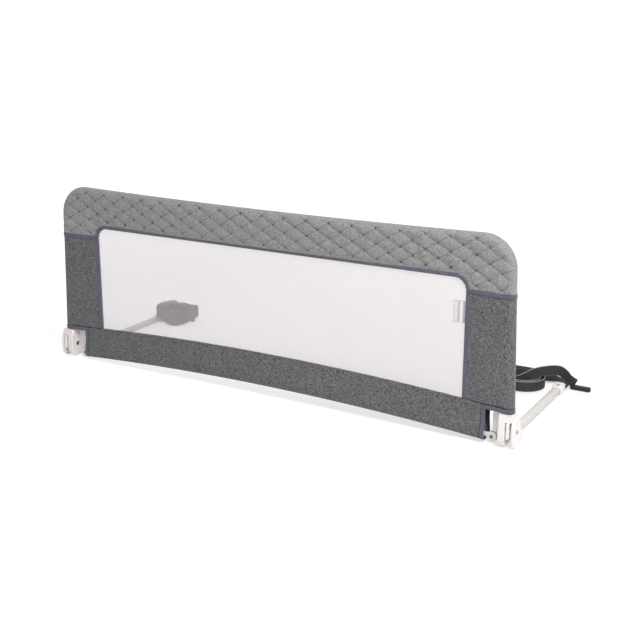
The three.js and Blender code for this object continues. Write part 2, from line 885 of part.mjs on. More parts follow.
// The window's outline, grown outwards, as a cutting block
function windowBlock(grow) {
  const shape = roundedShape(
    -windowHalf - grow,
    -overallHeight,
    windowHalf + grow,
    windowTop + grow,
    windowCornerRadius + grow,
  );
  return alongY(plate(shape, 4 * coverRadius), 2 * coverRadius);
}

// Quilted top band, tufted where the diamonds of stitching meet
const bandFoot = seamCentre + seamWidth / 2 + clearance;
const edgeInsetShare = 0.3;
const edgeInsets = [coverEdgeInset, edgeInsetShare * coverRadius];
const quiltMarginShare = 1.2;
const halfQuiltColumns = Math.floor((coverTopHalf - coverRadius * quiltMarginShare) / quiltStepX);
const quiltColumns = [];
for (let i = -halfQuiltColumns; i <= halfQuiltColumns; i += 1) quiltColumns.push(i);
const tuftRows = [];
const lowestTuft = bandFoot + quiltStepZ / 3;
for (let k = 0; overallHeight - quiltTopInset - k * quiltStepZ > lowestTuft; k += 1) tuftRows.unshift(k);

// Bends the square corner of the band's grid onto the cover's round corner
function roundCorner(x, z, centreX, centreZ, radius) {
  const across = (Math.abs(x) - centreX) / radius;
  const up = (z - centreZ) / radius;
  if (across <= 0 || up <= 0) return [x, z];
  const bentX = centreX + radius * across * Math.sqrt(1 - (up * up) / 2);
  return [Math.sign(x) * bentX, centreZ + radius * up * Math.sqrt(1 - (across * across) / 2)];
}

function inwardDistance(x, z) {
  const across = Math.abs(x) - cornerStart;
  const up = z - cornerHeight;
  if (across > 0 && up > 0) return coverCornerRadius - Math.hypot(across, up);
  return Math.min(sideHalf(z) - Math.abs(x), topHeight(x) - z);
}

function quiltedBand() {
  const columns = [
    ...edgeInsets.map((inset) => ({ edge: -1, inset })),
    ...quiltColumns.map((step) => ({ edge: 0, step })),
    ...[...edgeInsets].reverse().map((inset) => ({ edge: 1, inset })),
  ];
  const rows = [
    { foot: true },
    ...tuftRows.map((k) => ({ k })),
    ...[...edgeInsets].reverse().map((inset) => ({ inset })),
  ];
  return slab(columns.length, rows.length, (i, j, side) => {
    const column = columns[i];
    const row = rows[j];
    const edgeX = column.edge * (sideHalf(cornerHeight) - column.inset);
    const plainX = column.edge ? edgeX : column.step * quiltStepX;
    let z = bandFoot;
    if (row.inset) z = topHeight(plainX) - row.inset;
    if (row.k >= 0) z = topHeight(plainX) - quiltTopInset - row.k * quiltStepZ;
    const wider = column.edge ? column.edge * (sideHalf(z) - sideHalf(cornerHeight)) : 0;
    const [x, bentZ] = roundCorner(plainX + wider, z, cornerStart, cornerHeight, coverCornerRadius);
    let half = halfThickness(inwardDistance(x, bentZ));
    if (!column.edge && row.k >= 0) {
      half += (column.step + row.k) % 2 === 0 ? -tuftDepth : puffHeight;
    }
    return v(x, side * half, bentZ);
  });
}
const bandOpening = windowBlock(bindingWidth + clearance);
add(rail, "cover_top_quilted", cut(quiltedBand(), bandOpening, ...frameChannel), "quilt");

// Plain side bands, seam tapes and notch tapes, as slabs across the side of the cover
const sideInsetShares = [0.2, 0.6, 1, 3];
const sideInsets = [coverEdgeInset, ...sideInsetShares.map((share) => share * coverRadius)];
function sideSlab(sign, innerX, lowZ, highZ, grow, rows) {
  return slab(sideInsets.length + 1, rows, (i, j, side) => {
    const share = j / (rows - 1);
    const outlineZ = THREE.MathUtils.lerp(lowZ(halfLength), highZ, share);
    const outer = sideHalf(outlineZ);
    const x = i < sideInsets.length ? outer - sideInsets[i] + grow : innerX;
    const z = THREE.MathUtils.lerp(lowZ(x), highZ, share);
    return v(sign * x, side * (halfThickness(outer - x) + grow), z);
  });
}

// Window panel: binding, net, and the tapes and bands round it
const sideFoot = (x) => windowBottom + bottomRise(x) + clearance;
const flat = (z) => () => z;
const innerEdge = windowHalf + bindingWidth + clearance;
ends.forEach(({ side }, index) => {
  const sign = side === "left" ? -1 : 1;
  const band = sideSlab(sign, innerEdge, sideFoot, seamCentre - seamWidth / 2 - clearance, 0, 4);
  add(rail, `cover_side_${side}`, cut(band, frameChannel[index]), "fabric");
  const seam = sideSlab(
    sign,
    innerEdge,
    flat(seamCentre - seamWidth / 2),
    seamCentre + seamWidth / 2,
    bindingProud,
    2,
  );
  add(rail, `seam_tape_${side}`, cut(seam, frameChannel[index]), "binding");
  const middleX = notchHalf - bindingWidth / 2;
  const across = sideSlab(sign, middleX, flat(notchTop), windowBottom, bindingProud, 2);
  const down = sleeveSlab([notchHalf - bindingWidth, notchHalf].map((x) => sign * x), bindingProud);
  add(rail, `notch_tape_${side}`, cut(join(down, across), frameChannel[index], bottomChannel), "binding");
});

// A slab of the bottom sleeve through a list of places along the rail
function sleeveSlab(xs, grow) {
  const below = sleeveBelowShares.map((share) => coverBottom + share * sleeveBelow);
  const above = sleeveAboveShares.map((share) => coverBottom + (sleeveBelow + share * sleeveAbove));
  const heights = [...below, ...above, windowBottom];
  return slab(xs.length, heights.length, (i, j, side) =>
    v(xs[i], side * (sleeveHalf(heights[j]) + grow), heights[j] + bottomRise(xs[i])),
  );
}

const sleeveSteps = 14;
const sleeveEnd = notchHalf - bindingWidth - clearance;
const sleeveXs = Array.from({ length: sleeveSteps + 1 }, (_, i) =>
  THREE.MathUtils.lerp(-sleeveEnd, sleeveEnd, i / sleeveSteps),
);
add(rail, "cover_bottom", cut(sleeveSlab(sleeveXs, 0), bottomChannel), "fabric");

function windowBinding() {
  const foot = windowBottom + bottomRise(windowHalf + bindingWidth / 2) + clearance;
  const outer = roundedShape(
    -windowHalf - bindingWidth,
    foot - overallHeight,
    windowHalf + bindingWidth,
    windowTop + bindingWidth,
    windowCornerRadius + bindingWidth,
  );
  const half = coverThinHalf + bindingProud;
  const strip = alongY(plate(outer, 2 * half), half);
  const below = box(v(-halfLength, -overallHeight, -2 * overallHeight), v(halfLength, overallHeight, foot));
  return cut(strip, windowBlock(0), below);
}
add(rail, "window_binding", windowBinding(), "binding");

// The net: a sheet with a grid of gaps, closed in its top corners
function net() {
  const edge = windowHalf - clearance;
  const top = windowTop - clearance;
  const bars = (count) => {
    const lines = [0];
    for (let i = 1; i < count; i += 1) lines.push(i / count, i / count);
    return [...lines, 1];
  };
  const across = bars(netColumns);
  const up = bars(netRows);
  const place = (list, i, low, high) => {
    const shift = i === 0 || i === list.length - 1 ? 0 : (i % 2 ? -netBar : netBar) / 2;
    return THREE.MathUtils.lerp(low, high, list[i]) + shift;
  };
  const netHeight = top - windowBottom;
  const innerXs = across.slice(1, -1).map((_, i) => place(across, i + 1, -edge, edge));
  const xs = [-edge, -edge + netBar, ...innerXs, edge - netBar, edge];
  const innerRises = up.slice(1, -1).map((_, i) => place(up, i + 1, 0, netHeight));
  const rises = [0, netBar, ...innerRises, netHeight - netBar, netHeight];
  const points = [];
  for (const y of [-netThickness / 2, netThickness / 2]) {
    for (const x of xs) {
      const low = windowBottom + bottomRise(x) + clearance;
      const stretch = (top - low) / (top - windowBottom);
      for (const rise of rises) points.push(v(x, y, low + rise * stretch));
    }
  }
  const columns = xs.length;
  const rows = rises.length;
  const at = (i, j, back) => (back ? columns * rows : 0) + i * rows + j;
  const isGap = (i, j) => i >= 0 && j >= 0 && i < columns - 1 && j < rows - 1 && i % 2 === 1 && j % 2 === 1;
  const inside = (i, j) => i >= 0 && j >= 0 && i < columns - 1 && j < rows - 1 && !isGap(i, j);
  const faces = [];
  const quad = (a, b, c, d) => faces.push([a, b, c], [a, c, d]);
  for (let i = 0; i + 1 < columns; i += 1) {
    for (let j = 0; j + 1 < rows; j += 1) {
      if (isGap(i, j)) continue;
      quad(at(i, j, false), at(i + 1, j, false), at(i + 1, j + 1, false), at(i, j + 1, false));
      quad(at(i, j, true), at(i, j + 1, true), at(i + 1, j + 1, true), at(i + 1, j, true));
      if (!inside(i, j - 1)) quad(at(i, j, false), at(i, j, true), at(i + 1, j, true), at(i + 1, j, false));
      if (!inside(i, j + 1)) {
        quad(at(i, j + 1, false), at(i + 1, j + 1, false), at(i + 1, j + 1, true), at(i, j + 1, true));
      }
      if (!inside(i - 1, j)) quad(at(i, j, false), at(i, j + 1, false), at(i, j + 1, true), at(i, j, true));
      if (!inside(i + 1, j)) {
        quad(at(i + 1, j, false), at(i + 1, j, true), at(i + 1, j + 1, true), at(i + 1, j + 1, false));
      }
    }
  }
  const corners = [-1, 1].map((sign) => {
    const inner = sign * (edge - windowCornerRadius);
    return box(
      v(Math.min(inner, sign * edge), -netThickness / 2, top - windowCornerRadius),
      v(Math.max(inner, sign * edge), netThickness / 2, top),
    );
  });
  return join(closed(points, faces), ...corners).intersect(solid(windowBlock(-clearance)));
}
add(rail, "mesh_window", net(), "net");

const tagFront = netThickness / 2 + clearance;
const tagRight = windowHalf - clearance;
const tag = box(
  v(tagRight - tagWidth, tagFront, tagBottom),
  v(tagRight, tagFront + tagThickness, tagBottom + tagHeight),
);
add(rail, "blank_tag", tag, "tag");

// Webbing: a flat strip along a list of points, where a lean of 0 stands it on edge and 1 lays it flat
function ribbon(points, leans = []) {
  const route = new Route(points);
  const last = points.length - 1;
  const half = webWidth / 2;
  const thin = webThickness / 2;
  const shoulder = half - webThickness;
  const section = [
    [half, 0],
    [shoulder, thin],
    [-shoulder, thin],
    [-half, 0],
    [-shoulder, -thin],
    [shoulder, -thin],
  ];
  const rings = points.map((point, i) => {
    const along = route.getTangentAt(i / last);
    const level = v(along.x, along.y, 0).normalize();
    const outward = v(level.y, -level.x, 0);
    const raised = new THREE.Vector3().crossVectors(outward, along).normalize();
    const lean = (leans[i] || 0) * (Math.PI / 2);
    const upright = raised.multiplyScalar(Math.cos(lean)).addScaledVector(outward, Math.sin(lean));
    const through = new THREE.Vector3().crossVectors(along, upright).normalize();
    return section.map(([up, side]) =>
      point.clone().addScaledVector(upright, up).addScaledVector(through, side),
    );
  });
  return skin(rings);
}

const webHeight = webWidth / 2 + webLift;
const smooth = (points, count) =>
  new THREE.CatmullRomCurve3(points, false, "centripetal").getSpacedPoints(count);

// Prints a webbing's length and the least gap between its turns, measured on its points
function measure(name, points) {
  let least = Infinity;
  let length = 0;
  for (let i = 1; i < points.length; i += 1) {
    length += points[i].distanceTo(points[i - 1]);
    for (let j = i + loopSteps / 3; j < points.length; j += 1) {
      const apart = Math.hypot(points[i].x - points[j].x, points[i].y - points[j].y);
      if (Math.abs(points[i].z - points[j].z) < webWidth) least = Math.min(least, apart - webThickness);
    }
  }
  console.log(`${name}: least gap ${least.toFixed(2)} mm, length ${length.toFixed(0)} mm`);
}

// A smooth rise from 0 to 1 as a value goes from one place to another
function ramp(value, from, to) {
  const share = THREE.MathUtils.clamp((value - from) / (to - from), 0, 1);
  return share * share * (3 - 2 * share);
}

// The webbing's way out of a cap: flat and straight, then twisting on to its edge as it turns
const twistStartShare = 0.35;
function twisted(entry, count, rest) {
  const points = smooth(entry, count).concat(rest);
  const leans = points.map((point, i) => {
    return 1 - ramp(i / count, twistStartShare, 1);
  });
  points.forEach((point, i) => {
    if (i < count) point.z = THREE.MathUtils.lerp(point.z, webExitHeight, leans[i]);
  });
  return { points, leans };
}

const straightShares = [0, 0.5, 1];
const straightOut = straightShares.map((share) => v(0, clearance + share * webExitRun, webHeight));

// Each strap is laid out from the middle of its leg's end
const [leftStrap, rightStrap] = [-1, 1].map((sign) => {
  const place = new THREE.Group();
  place.position.set(sign * legCentreX, legReach, 0);
  rail.add(place);
  return place;
});

// Right strap
const rightHalf = rightLoopStraight / 2;
function rightLoop(turns) {
  const points = [];
  for (let i = 0; i <= turns * loopSteps; i += 1) {
    const turn = i / loopSteps;
    const radius = rightLoopRadius - loopPitch * turn;
    const arc = Math.PI * radius;
    let along = (turn % 1) * (2 * arc + 2 * rightLoopStraight);
    const backHalf = along < arc + rightLoopStraight;
    if (!backHalf) along -= arc + rightLoopStraight;
    const sign = backHalf ? 1 : -1;
    let x = rightHalf - along;
    let y = radius;
    if (along > rightLoopStraight) {
      const angle = (along - rightLoopStraight) / radius;
      x = -rightHalf - radius * Math.sin(angle);
      y = radius * Math.cos(angle);
    }
    points.push(v(rightLoopX + sign * x, rightLoopY + sign * y, webHeight));
  }
  return points;
}

const rightTurnSteps = 4;
const rightTurnPoints = Array.from({ length: rightTurnSteps + 1 }, (_, step) => {
  const angle = (step / rightTurnSteps) * (Math.PI / 2);
  const centreX = -rightEntryRadius;
  const centreY = rightLoopY + rightLoopRadius - rightEntryRadius;
  const out = rightEntryRadius * Math.cos(angle);
  const along = rightEntryRadius * Math.sin(angle);
  return v(centreX + out, centreY + along, webHeight);
});
const rightSpiral = rightLoop(rightLoopTurns);
const rightEntryPoints = [...straightOut.slice(0, 2), ...rightTurnPoints, rightSpiral[0]];
const rightEntrySteps = 10;
const rightHank = twisted(rightEntryPoints, rightEntrySteps, rightSpiral.slice(1));
measure("strap_hank_right", rightHank.points);
add(rightStrap, "strap_hank_right", ribbon(rightHank.points, rightHank.leans), "webbing");

function tailPoints(spiral, tail) {
  const end = spiral.at(-1);
  const past = end.clone().sub(spiral.at(-2)).setLength(2 * webThickness);
  return smooth([end.clone().add(past), ...tail.map(([x, y, z]) => v(x, y, z))], loopSteps);
}
const rightTailPoints = tailPoints(rightSpiral, rightTail);
measure("strap_tail_right", rightTailPoints);
add(rightStrap, "strap_tail_right", ribbon(rightTailPoints), "webbing");

// Left strap
function leftHeight(x, y) {
  const onLeg = ramp(x, legRampStart, legRampEnd);
  const onBar = ramp(y, barRampStart, barRampEnd) * (1 - onLeg);
  return webHeight + legRampHeight * onLeg + barRampHeight * onBar;
}
const heartLine = new THREE.CatmullRomCurve3(
  leftHeartDegrees.map((degrees, i) => {
    const angle = THREE.MathUtils.degToRad(degrees);
    return v(leftHeartRadii[i] * Math.cos(angle), leftHeartRadii[i] * Math.sin(angle), 0);
  }),
  true,
  "centripetal",
);
const heartSteps = heartLine.getSpacedPoints(loopSteps);
const leftSpiral = [];
for (let i = 0; i <= leftHeartTurns * loopSteps; i += 1) {
  const scale = 1 - (leftHeartShrinkShare * i) / loopSteps;
  const at = heartSteps[i % loopSteps].clone().multiplyScalar(scale);
  const [x, y] = [leftHeartX + at.x, leftHeartY + at.y];
  leftSpiral.push(v(x, y, leftHeight(x, y)));
}
const leftEntryPoints = [
  ...straightOut,
  ...leftEntry.map(([x, y]) => v(x, y, webHeight + barRampHeight * ramp(x, entryRiseStart, entryRiseEnd))),
  leftSpiral[0],
];
const leftEntrySteps = 12;
const leftHank = twisted(leftEntryPoints, leftEntrySteps, leftSpiral.slice(1));
measure("strap_hank_left", leftHank.points);
add(leftStrap, "strap_hank_left", ribbon(leftHank.points, leftHank.leans), "webbing");
const leftTailPoints = tailPoints(leftSpiral, leftTail);
measure("strap_tail_left", leftTailPoints);
add(leftStrap, "strap_tail_left", ribbon(leftTailPoints), "webbing");

// Anchor bars, each with a slit in one end that grips the end of its strap
function anchorBar(startX, y) {
  const half = barWidth / 2;
  const shape = roundedShape(startX, y - half, startX + barLength, y + half, barCorner);
  const slit = box(
    v(startX - overrun, y - barSlitWidth / 2, -overrun),
    v(startX + barSlitLength, y + barSlitWidth / 2, barHeight + overrun),
  );
  return cut(plate(shape, barHeight, barBevel), slit);
}
add(rightStrap, "anchor_bar_right", anchorBar(rightBarStart, rightBarY), "anchor");
add(leftStrap, "anchor_bar_left", anchorBar(leftBarStart, leftBarY), "anchor");

const group = new THREE.Group();
group.add(rail);
export default group;
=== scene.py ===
from math import asin, atan2, cos, dist, exp, hypot, pi, radians, sin, sqrt

import bmesh
import bpy
from mathutils import Matrix, Vector, noise


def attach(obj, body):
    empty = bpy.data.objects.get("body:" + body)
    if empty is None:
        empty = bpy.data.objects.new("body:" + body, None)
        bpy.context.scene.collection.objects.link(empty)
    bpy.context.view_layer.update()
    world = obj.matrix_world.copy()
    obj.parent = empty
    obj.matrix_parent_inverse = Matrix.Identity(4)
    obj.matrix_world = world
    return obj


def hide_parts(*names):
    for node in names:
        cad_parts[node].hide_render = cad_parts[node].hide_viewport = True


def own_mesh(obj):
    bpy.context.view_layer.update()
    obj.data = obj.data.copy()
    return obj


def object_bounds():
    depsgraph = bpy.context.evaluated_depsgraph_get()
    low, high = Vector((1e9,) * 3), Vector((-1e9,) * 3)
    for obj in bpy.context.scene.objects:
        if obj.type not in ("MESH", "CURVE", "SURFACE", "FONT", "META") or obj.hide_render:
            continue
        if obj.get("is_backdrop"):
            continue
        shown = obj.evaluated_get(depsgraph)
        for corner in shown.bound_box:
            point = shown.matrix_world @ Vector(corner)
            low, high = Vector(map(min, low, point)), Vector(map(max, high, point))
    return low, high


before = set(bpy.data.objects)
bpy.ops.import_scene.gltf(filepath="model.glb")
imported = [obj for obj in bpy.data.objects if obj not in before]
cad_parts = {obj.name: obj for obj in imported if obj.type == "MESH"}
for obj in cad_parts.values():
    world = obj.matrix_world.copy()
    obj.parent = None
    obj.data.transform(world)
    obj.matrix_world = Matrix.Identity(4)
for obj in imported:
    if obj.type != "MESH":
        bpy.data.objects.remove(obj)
cad_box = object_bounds()
scene = bpy.context.scene

# Camera: it stands in front of the rail, to the right of its middle and above its top, where the
# photograph was taken, turned to the left and tilted down.
CAMERA_PLACE = (1.2659, -2.1520, 0.8881)
CAMERA_PAN = radians(30.20)
CAMERA_TILT = radians(16.28)
CAMERA_LENS = 63.56
FILM_WIDTH = 36

camera = bpy.data.objects.new("camera", bpy.data.cameras.new("camera"))
camera.location = CAMERA_PLACE
camera.rotation_euler = (pi / 2 - CAMERA_TILT, 0, CAMERA_PAN)
camera.data.sensor_fit = "HORIZONTAL"
camera.data.sensor_width = FILM_WIDTH
camera.data.lens = CAMERA_LENS
scene.collection.objects.link(camera)
scene.camera = camera

# Floor and light: a pale studio floor without edges, large soft lamps over the front and the back
# and a small stronger one from the right. The white round the rail comes from what the camera
# sees, not from more light.
MM = 0.001
FLOOR_HALF = 30.0
FLOOR_Z = -0.6 * MM
SKY_LIGHT = 0.43
GLOW_CENTRE = (0.5, 0.1, 0)
GLOW_NEAR = 0.5
GLOW_BESIDE = 0.68
GLOW_FAR = 0.42
BESIDE = 1.1
FAR_START = 1.2
FAR_END = 1.9


def finished(name, shape, smooth=True):
    """The shape as an object in the scene, at the origin."""
    if smooth:
        for face in shape.faces:
            face.smooth = True
    mesh = bpy.data.meshes.new(name)
    shape.to_mesh(mesh)
    shape.free()
    piece = bpy.data.objects.new(name, mesh)
    scene.collection.objects.link(piece)
    return piece


def put(tree, kind, inputs=None, **settings):
    """A shader node with its settings, its values and its links."""
    made = tree.nodes.new(kind)
    for key, value in settings.items():
        setattr(made, key, value)
    for key, value in (inputs or {}).items():
        if isinstance(value, bpy.types.NodeSocket):
            tree.links.new(value, made.inputs[key])
        else:
            made.inputs[key].default_value = value
    return made


def maths(tree, operation, first, second=0.0, third=0.0, clamp=False):
    values = {0: first, 1: second, 2: third}
    return put(tree, "ShaderNodeMath", values, operation=operation, use_clamp=clamp).outputs[0]


def map_range(tree, value, start, end, low, high, how="LINEAR"):
    """The value's way from start to end, as one from low to high."""
    ends = {"Value": value, 1: start, 2: end, 3: low, 4: high}
    return put(tree, "ShaderNodeMapRange", ends, interpolation_type=how).outputs[0]


def object_place(tree):
    return put(tree, "ShaderNodeTexCoord").outputs["Object"]


def blended(tree, share, first, second):
    """A colour between two, each a socket or a constant."""
    made = put(tree, "ShaderNodeMix", {0: share}, data_type="RGBA")
    for socket, value in (("A", first), ("B", second)):
        at = [s for s in made.inputs if s.name == socket and s.type == "RGBA"][0]
        if isinstance(value, bpy.types.NodeSocket):
            tree.links.new(value, at)
        else:
            at.default_value = value
    return [s for s in made.outputs if s.type == "RGBA"][0]


def coloured(tree, surface, share, first, second):
    tree.links.new(blended(tree, share, first, second), surface.inputs["Base Color"])


def new_material(name, **constants):
    material = bpy.data.materials.new(name)
    material.use_nodes = True
    surface = material.node_tree.nodes["Principled BSDF"]
    for key, value in constants.items():
        surface.inputs[key.replace("_", " ").title().replace("Ior", "IOR")].default_value = value
    return material, material.node_tree, surface


def wear(piece, material):
    piece.data.materials.clear()
    piece.data.materials.append(material)


def studio_ray(tree):
    """1 where a ray comes from the camera, a mirror or glass, which see the white studio."""
    path = put(tree, "ShaderNodeLightPath").outputs
    seen = maths(tree, "MAXIMUM", path["Is Camera Ray"], path["Is Glossy Ray"])
    return maths(tree, "MAXIMUM", seen, path["Is Transmission Ray"])


world = bpy.data.worlds.new("studio")
scene.world = world
world.use_nodes = True
tree = world.node_tree
backdrop = tree.nodes["Background"]
strength = put(tree, "ShaderNodeMix", {0: studio_ray(tree), "A": SKY_LIGHT, "B": 1.0}).outputs[0]
backdrop.inputs["Color"].default_value = (1, 1, 1, 1)
tree.links.new(strength, backdrop.inputs["Strength"])

shape = bmesh.new()
bmesh.ops.create_grid(shape, x_segments=1, y_segments=1, size=FLOOR_HALF)
floor = finished("studio_floor", shape, smooth=False)
floor.data.transform(Matrix.Translation((0, 0, FLOOR_Z)))
material, tree, surface = new_material("studio_floor", roughness=0.9)
seen = studio_ray(tree)
ends = {0: object_place(tree), 1: GLOW_CENTRE}
away = put(tree, "ShaderNodeVectorMath", ends, operation="DISTANCE").outputs["Value"]
beside = map_range(tree, away, 0.0, BESIDE, GLOW_NEAR, GLOW_BESIDE)
far = map_range(tree, away, FAR_START, FAR_END, 0.0, 1.0, "SMOOTHSTEP")
glow = maths(tree, "MULTIPLY", seen, maths(tree, "MULTIPLY_ADD", far, GLOW_FAR, beside))
seen_colour = blended(tree, far, (0.5, 0.5, 0.5, 1), (0, 0, 0, 1))
coloured(tree, surface, seen, (0.9, 0.9, 0.9, 1), seen_colour)
surface.inputs["Emission Color"].default_value = (1, 1, 1, 1)
tree.links.new(glow, surface.inputs["Emission Strength"])
wear(floor, material)
floor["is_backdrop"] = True

for name, place, aim, size, power in (
    ("front_lamp", (1.6, -3.0, 3.0), (0, 0, 0.2), 2.6, 17.5),
    ("right_lamp", (1.5, -1.1, 2.1), (0.3, -0.1, 0.2), 0.8, 45),
    ("back_lamp", (0.2, 3.2, 3.0), (0, 0.1, 0.1), 2.6, 24),
):
    lamp = bpy.data.objects.new(name, bpy.data.lights.new(name, "AREA"))
    lamp.data.size = size
    lamp.data.energy = power
    lamp.location = place
    lamp.rotation_euler = (Vector(aim) - Vector(place)).to_track_quat("-Z", "Y").to_euler()
    scene.collection.objects.link(lamp)
scene.view_settings.view_transform = "Standard"

# Moulded plastic: the hinge bases, knuckles, buttons and leg caps are injection moulded in white
# nylon, satin, with softened edges, and the anchor bars in black. The drawn bodies get rounded edges.
MERGE_REACH = 2e-6
FLAT_ANGLE = radians(1.5)
BEVEL_STEPS = 2


def softened(node, width, angle=38):
    """A copy of a drawn body with its edges rounded, which then stands for it."""
    shape = bmesh.new()
    shape.from_mesh(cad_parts[node].data)
    bmesh.ops.remove_doubles(shape, verts=shape.verts, dist=MERGE_REACH)
    bmesh.ops.dissolve_limit(
        shape, angle_limit=FLAT_ANGLE, verts=shape.verts, edges=shape.edges, use_dissolve_boundaries=False
    )
    sharp = [e for e in shape.edges if len(e.link_faces) == 2 and e.calc_face_angle(0) > radians(angle)]
    if width:
        bmesh.ops.bevel(
            shape, geom=sharp, offset=width * MM, offset_type="OFFSET", segments=BEVEL_STEPS, profile=0.5,
            affect="EDGES", clamp_overlap=True, material=-1, loop_slide=True,
        )
    piece = finished(f"{node}_finished", shape)
    edge_rule = piece.modifiers.new("weighted_normals", "WEIGHTED_NORMAL")
    edge_rule.keep_sharp = True
    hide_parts(node)
    return piece


def new_group(name, inputs, outputs):
    """A shader node group with named sockets, and its two end nodes."""
    group = bpy.data.node_groups.new(name, "ShaderNodeTree")
    for socket, kind in inputs:
        group.interface.new_socket(socket, in_out="INPUT", socket_type="NodeSocket" + kind)
    for socket, kind in outputs:
        group.interface.new_socket(socket, in_out="OUTPUT", socket_type="NodeSocket" + kind)
    return group, group.nodes.new("NodeGroupInput"), group.nodes.new("NodeGroupOutput")


def mottle_group():
    """Slow patches and fine grain, as every dyed or moulded surface has, as a value round 0.5."""
    group, given, made = new_group(
        "mottle", [("Vector", "Vector"), ("Patch Scale", "Float"), ("Grain Scale", "Float")],
        [("Patches", "Float"), ("Grain", "Float")],
    )
    for scale, result, detail in (("Patch Scale", "Patches", 3.0), ("Grain Scale", "Grain", 1.0)):
        field = put(
            group, "ShaderNodeTexNoise",
            {"Vector": given.outputs["Vector"], "Scale": given.outputs[scale], "Detail": detail},
        )
        group.links.new(field.outputs["Fac"], made.inputs[result])
    return group


mottle = mottle_group()


def mottled(tree, patch_scale, grain_scale):
    """The mottle's patches and grain on a piece's own coordinates."""
    scales = {"Vector": object_place(tree), "Patch Scale": patch_scale, "Grain Scale": grain_scale}
    return put(tree, "ShaderNodeGroup", scales, node_tree=mottle).outputs


def textured(tree, surface, height, strength, distance):
    """Relief finer than the mesh."""
    bump = put(tree, "ShaderNodeBump", {"Strength": strength, "Distance": distance, "Height": height})
    tree.links.new(bump.outputs["Normal"], surface.inputs["Normal"])


def moulded_material(name, colour, shadow, roughness, coat, grain_depth):
    material, tree, surface = new_material(name, roughness=roughness, coat_weight=coat, coat_roughness=0.25)
    spots = mottled(tree, 38, 2600)
    tint = maths(tree, "MULTIPLY_ADD", spots["Patches"], 1.6, -0.45, clamp=True)
    coloured(tree, surface, tint, colour, shadow)
    gloss = maths(tree, "MULTIPLY_ADD", spots["Patches"], 0.22, roughness - 0.1)
    tree.links.new(gloss, surface.inputs["Roughness"])
    textured(tree, surface, spots["Grain"], grain_depth, 0.0001)
    return material


white_plastic = moulded_material(
    "white_moulding", (0.90, 0.86, 0.85, 1), (0.86, 0.80, 0.79, 1), roughness=0.4, coat=0.2, grain_depth=0.25
)
black_plastic = moulded_material(
    "black_moulding", (0.005, 0.005, 0.006, 1), (0.014, 0.014, 0.015, 1),
    roughness=0.55, coat=0, grain_depth=0.4,
)
for side in ("left", "right"):
    for node, width, body in (
        ("hinge_base", 0.8, f"{side}_leg"), ("knuckle", 0.7, "rail"),
        ("release_button", 0.5, f"release_button_{side}"), ("leg_cap", 0.8, f"{side}_leg"),
        ("anchor_bar", 0.8, f"{side}_leg"),
    ):
        piece = softened(f"{node}_{side}", width)
        black = node == "anchor_bar"
        wear(piece, black_plastic if black else white_plastic)
        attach(piece, body)


# The steel is far darker than zinc plating, partly for a dark finish of its own and partly so that bolt and
# screw heads read as the shade in their recesses: partly painted shade.
def steel_material():
    material, tree, surface = new_material("zinc_plated_steel", metallic=1.0, roughness=0.34)
    spots = mottled(tree, 420, 3800)
    coloured(tree, surface, spots["Patches"], (0.15, 0.15, 0.155, 1), (0.27, 0.27, 0.275, 1))
    gloss = maths(tree, "MULTIPLY_ADD", spots["Grain"], 0.3, 0.2)
    tree.links.new(gloss, surface.inputs["Roughness"])
    textured(tree, surface, spots["Grain"], 0.3, 0.00005)
    return material


plated_steel_with_painted_shade = steel_material()
for node in ("top_joiner", "bottom_joiner"):
    wear(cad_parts[node], plated_steel_with_painted_shade)
for side in ("left", "right"):
    for node in (
        "pivot_bolt", "pivot_nut", "lug_screw", "upright_screw", "leg_screw", "cap_screw", "button_spring",
    ):
        wear(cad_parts[f"{node}_{side}"], plated_steel_with_painted_shade)
    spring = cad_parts[f"button_spring_{side}"]
    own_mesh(spring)

# Tubes: the bent frame, the bottom tube and the flat legs are steel, powder coated white, with the
# faint orange peel of the coat. The bottom tube, whose flat tongue shows in the shaded notch, wears a
# lighter copy of the coat: painted light that makes up for the shade there.


def powder_material(name, colour, shadow):
    material, tree, surface = new_material(name, roughness=0.34, coat_weight=0.2, coat_roughness=0.2)
    spots = mottled(tree, 14, 620)
    coloured(tree, surface, spots["Patches"], colour, shadow)
    textured(tree, surface, spots["Grain"], 0.12, 0.0002)
    return material


powder_coat = powder_material("white_powder_coat", (0.68, 0.655, 0.63, 1), (0.62, 0.595, 0.57, 1))
# A lighter copy of the coat for the bottom tube: painted light where the notch shades it.
lightened_coat_painted_light = powder_material("powder_coat_painted_light", (0.90, 0.87, 0.85, 1), (0.85, 0.81, 0.79, 1))
for side in ("left", "right"):
    for node, body in (("frame_tube", "rail"), ("bottom_tube", "rail"), ("leg_tube", f"{side}_leg")):
        piece = softened(f"{node}_{side}", 0, angle=50)
        wear(piece, lightened_coat_painted_light if node == "bottom_tube" else powder_coat)
        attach(piece, body)

# Straps: black woven webbing 25 mm wide, fixed in the end of each leg and wound up beside it.
# Each leaves its leg flat, twists on to its edge, and is wound inwards as a loop or a heart.
# The free end runs over the turns and down into the slit of a plastic bar.
LEG_CENTRE = 0.56995
LEG_END = 0.196
WEB_WIDTH = 25 * MM
WEB_EXIT_HEIGHT = 7 * MM
RIB_PITCH = 0.0017
YARN_PITCH = 0.0021
TWILL_TURNS = (1847.0, 2992.0)
EDGE_HIGHLIGHT_SHARPNESS = 560.0
ON_EDGE = 13.3
LEG_LIFT = 20.1
LEG_REACH = (-65, -17)
CROSS_LIFT = 10.5
CROSS_REACH = (-45, 2)
CURVE_STEPS = 24
TURN_STEPS = 48
ENTRY_STEPS = 24
TAIL_STEPS = 80
EASED_STEPS = 9
EASE_ROUNDS = 12
HEM_EDGE = [(12.5, 0), (12.1, 0.62), (11.3, 0.76), (10.5, 0.7), (9.9, 0.55), (4, 0.5)]
WEB_FACE = [(-u, w) for u, w in HEM_EDGE] + HEM_EDGE[::-1]
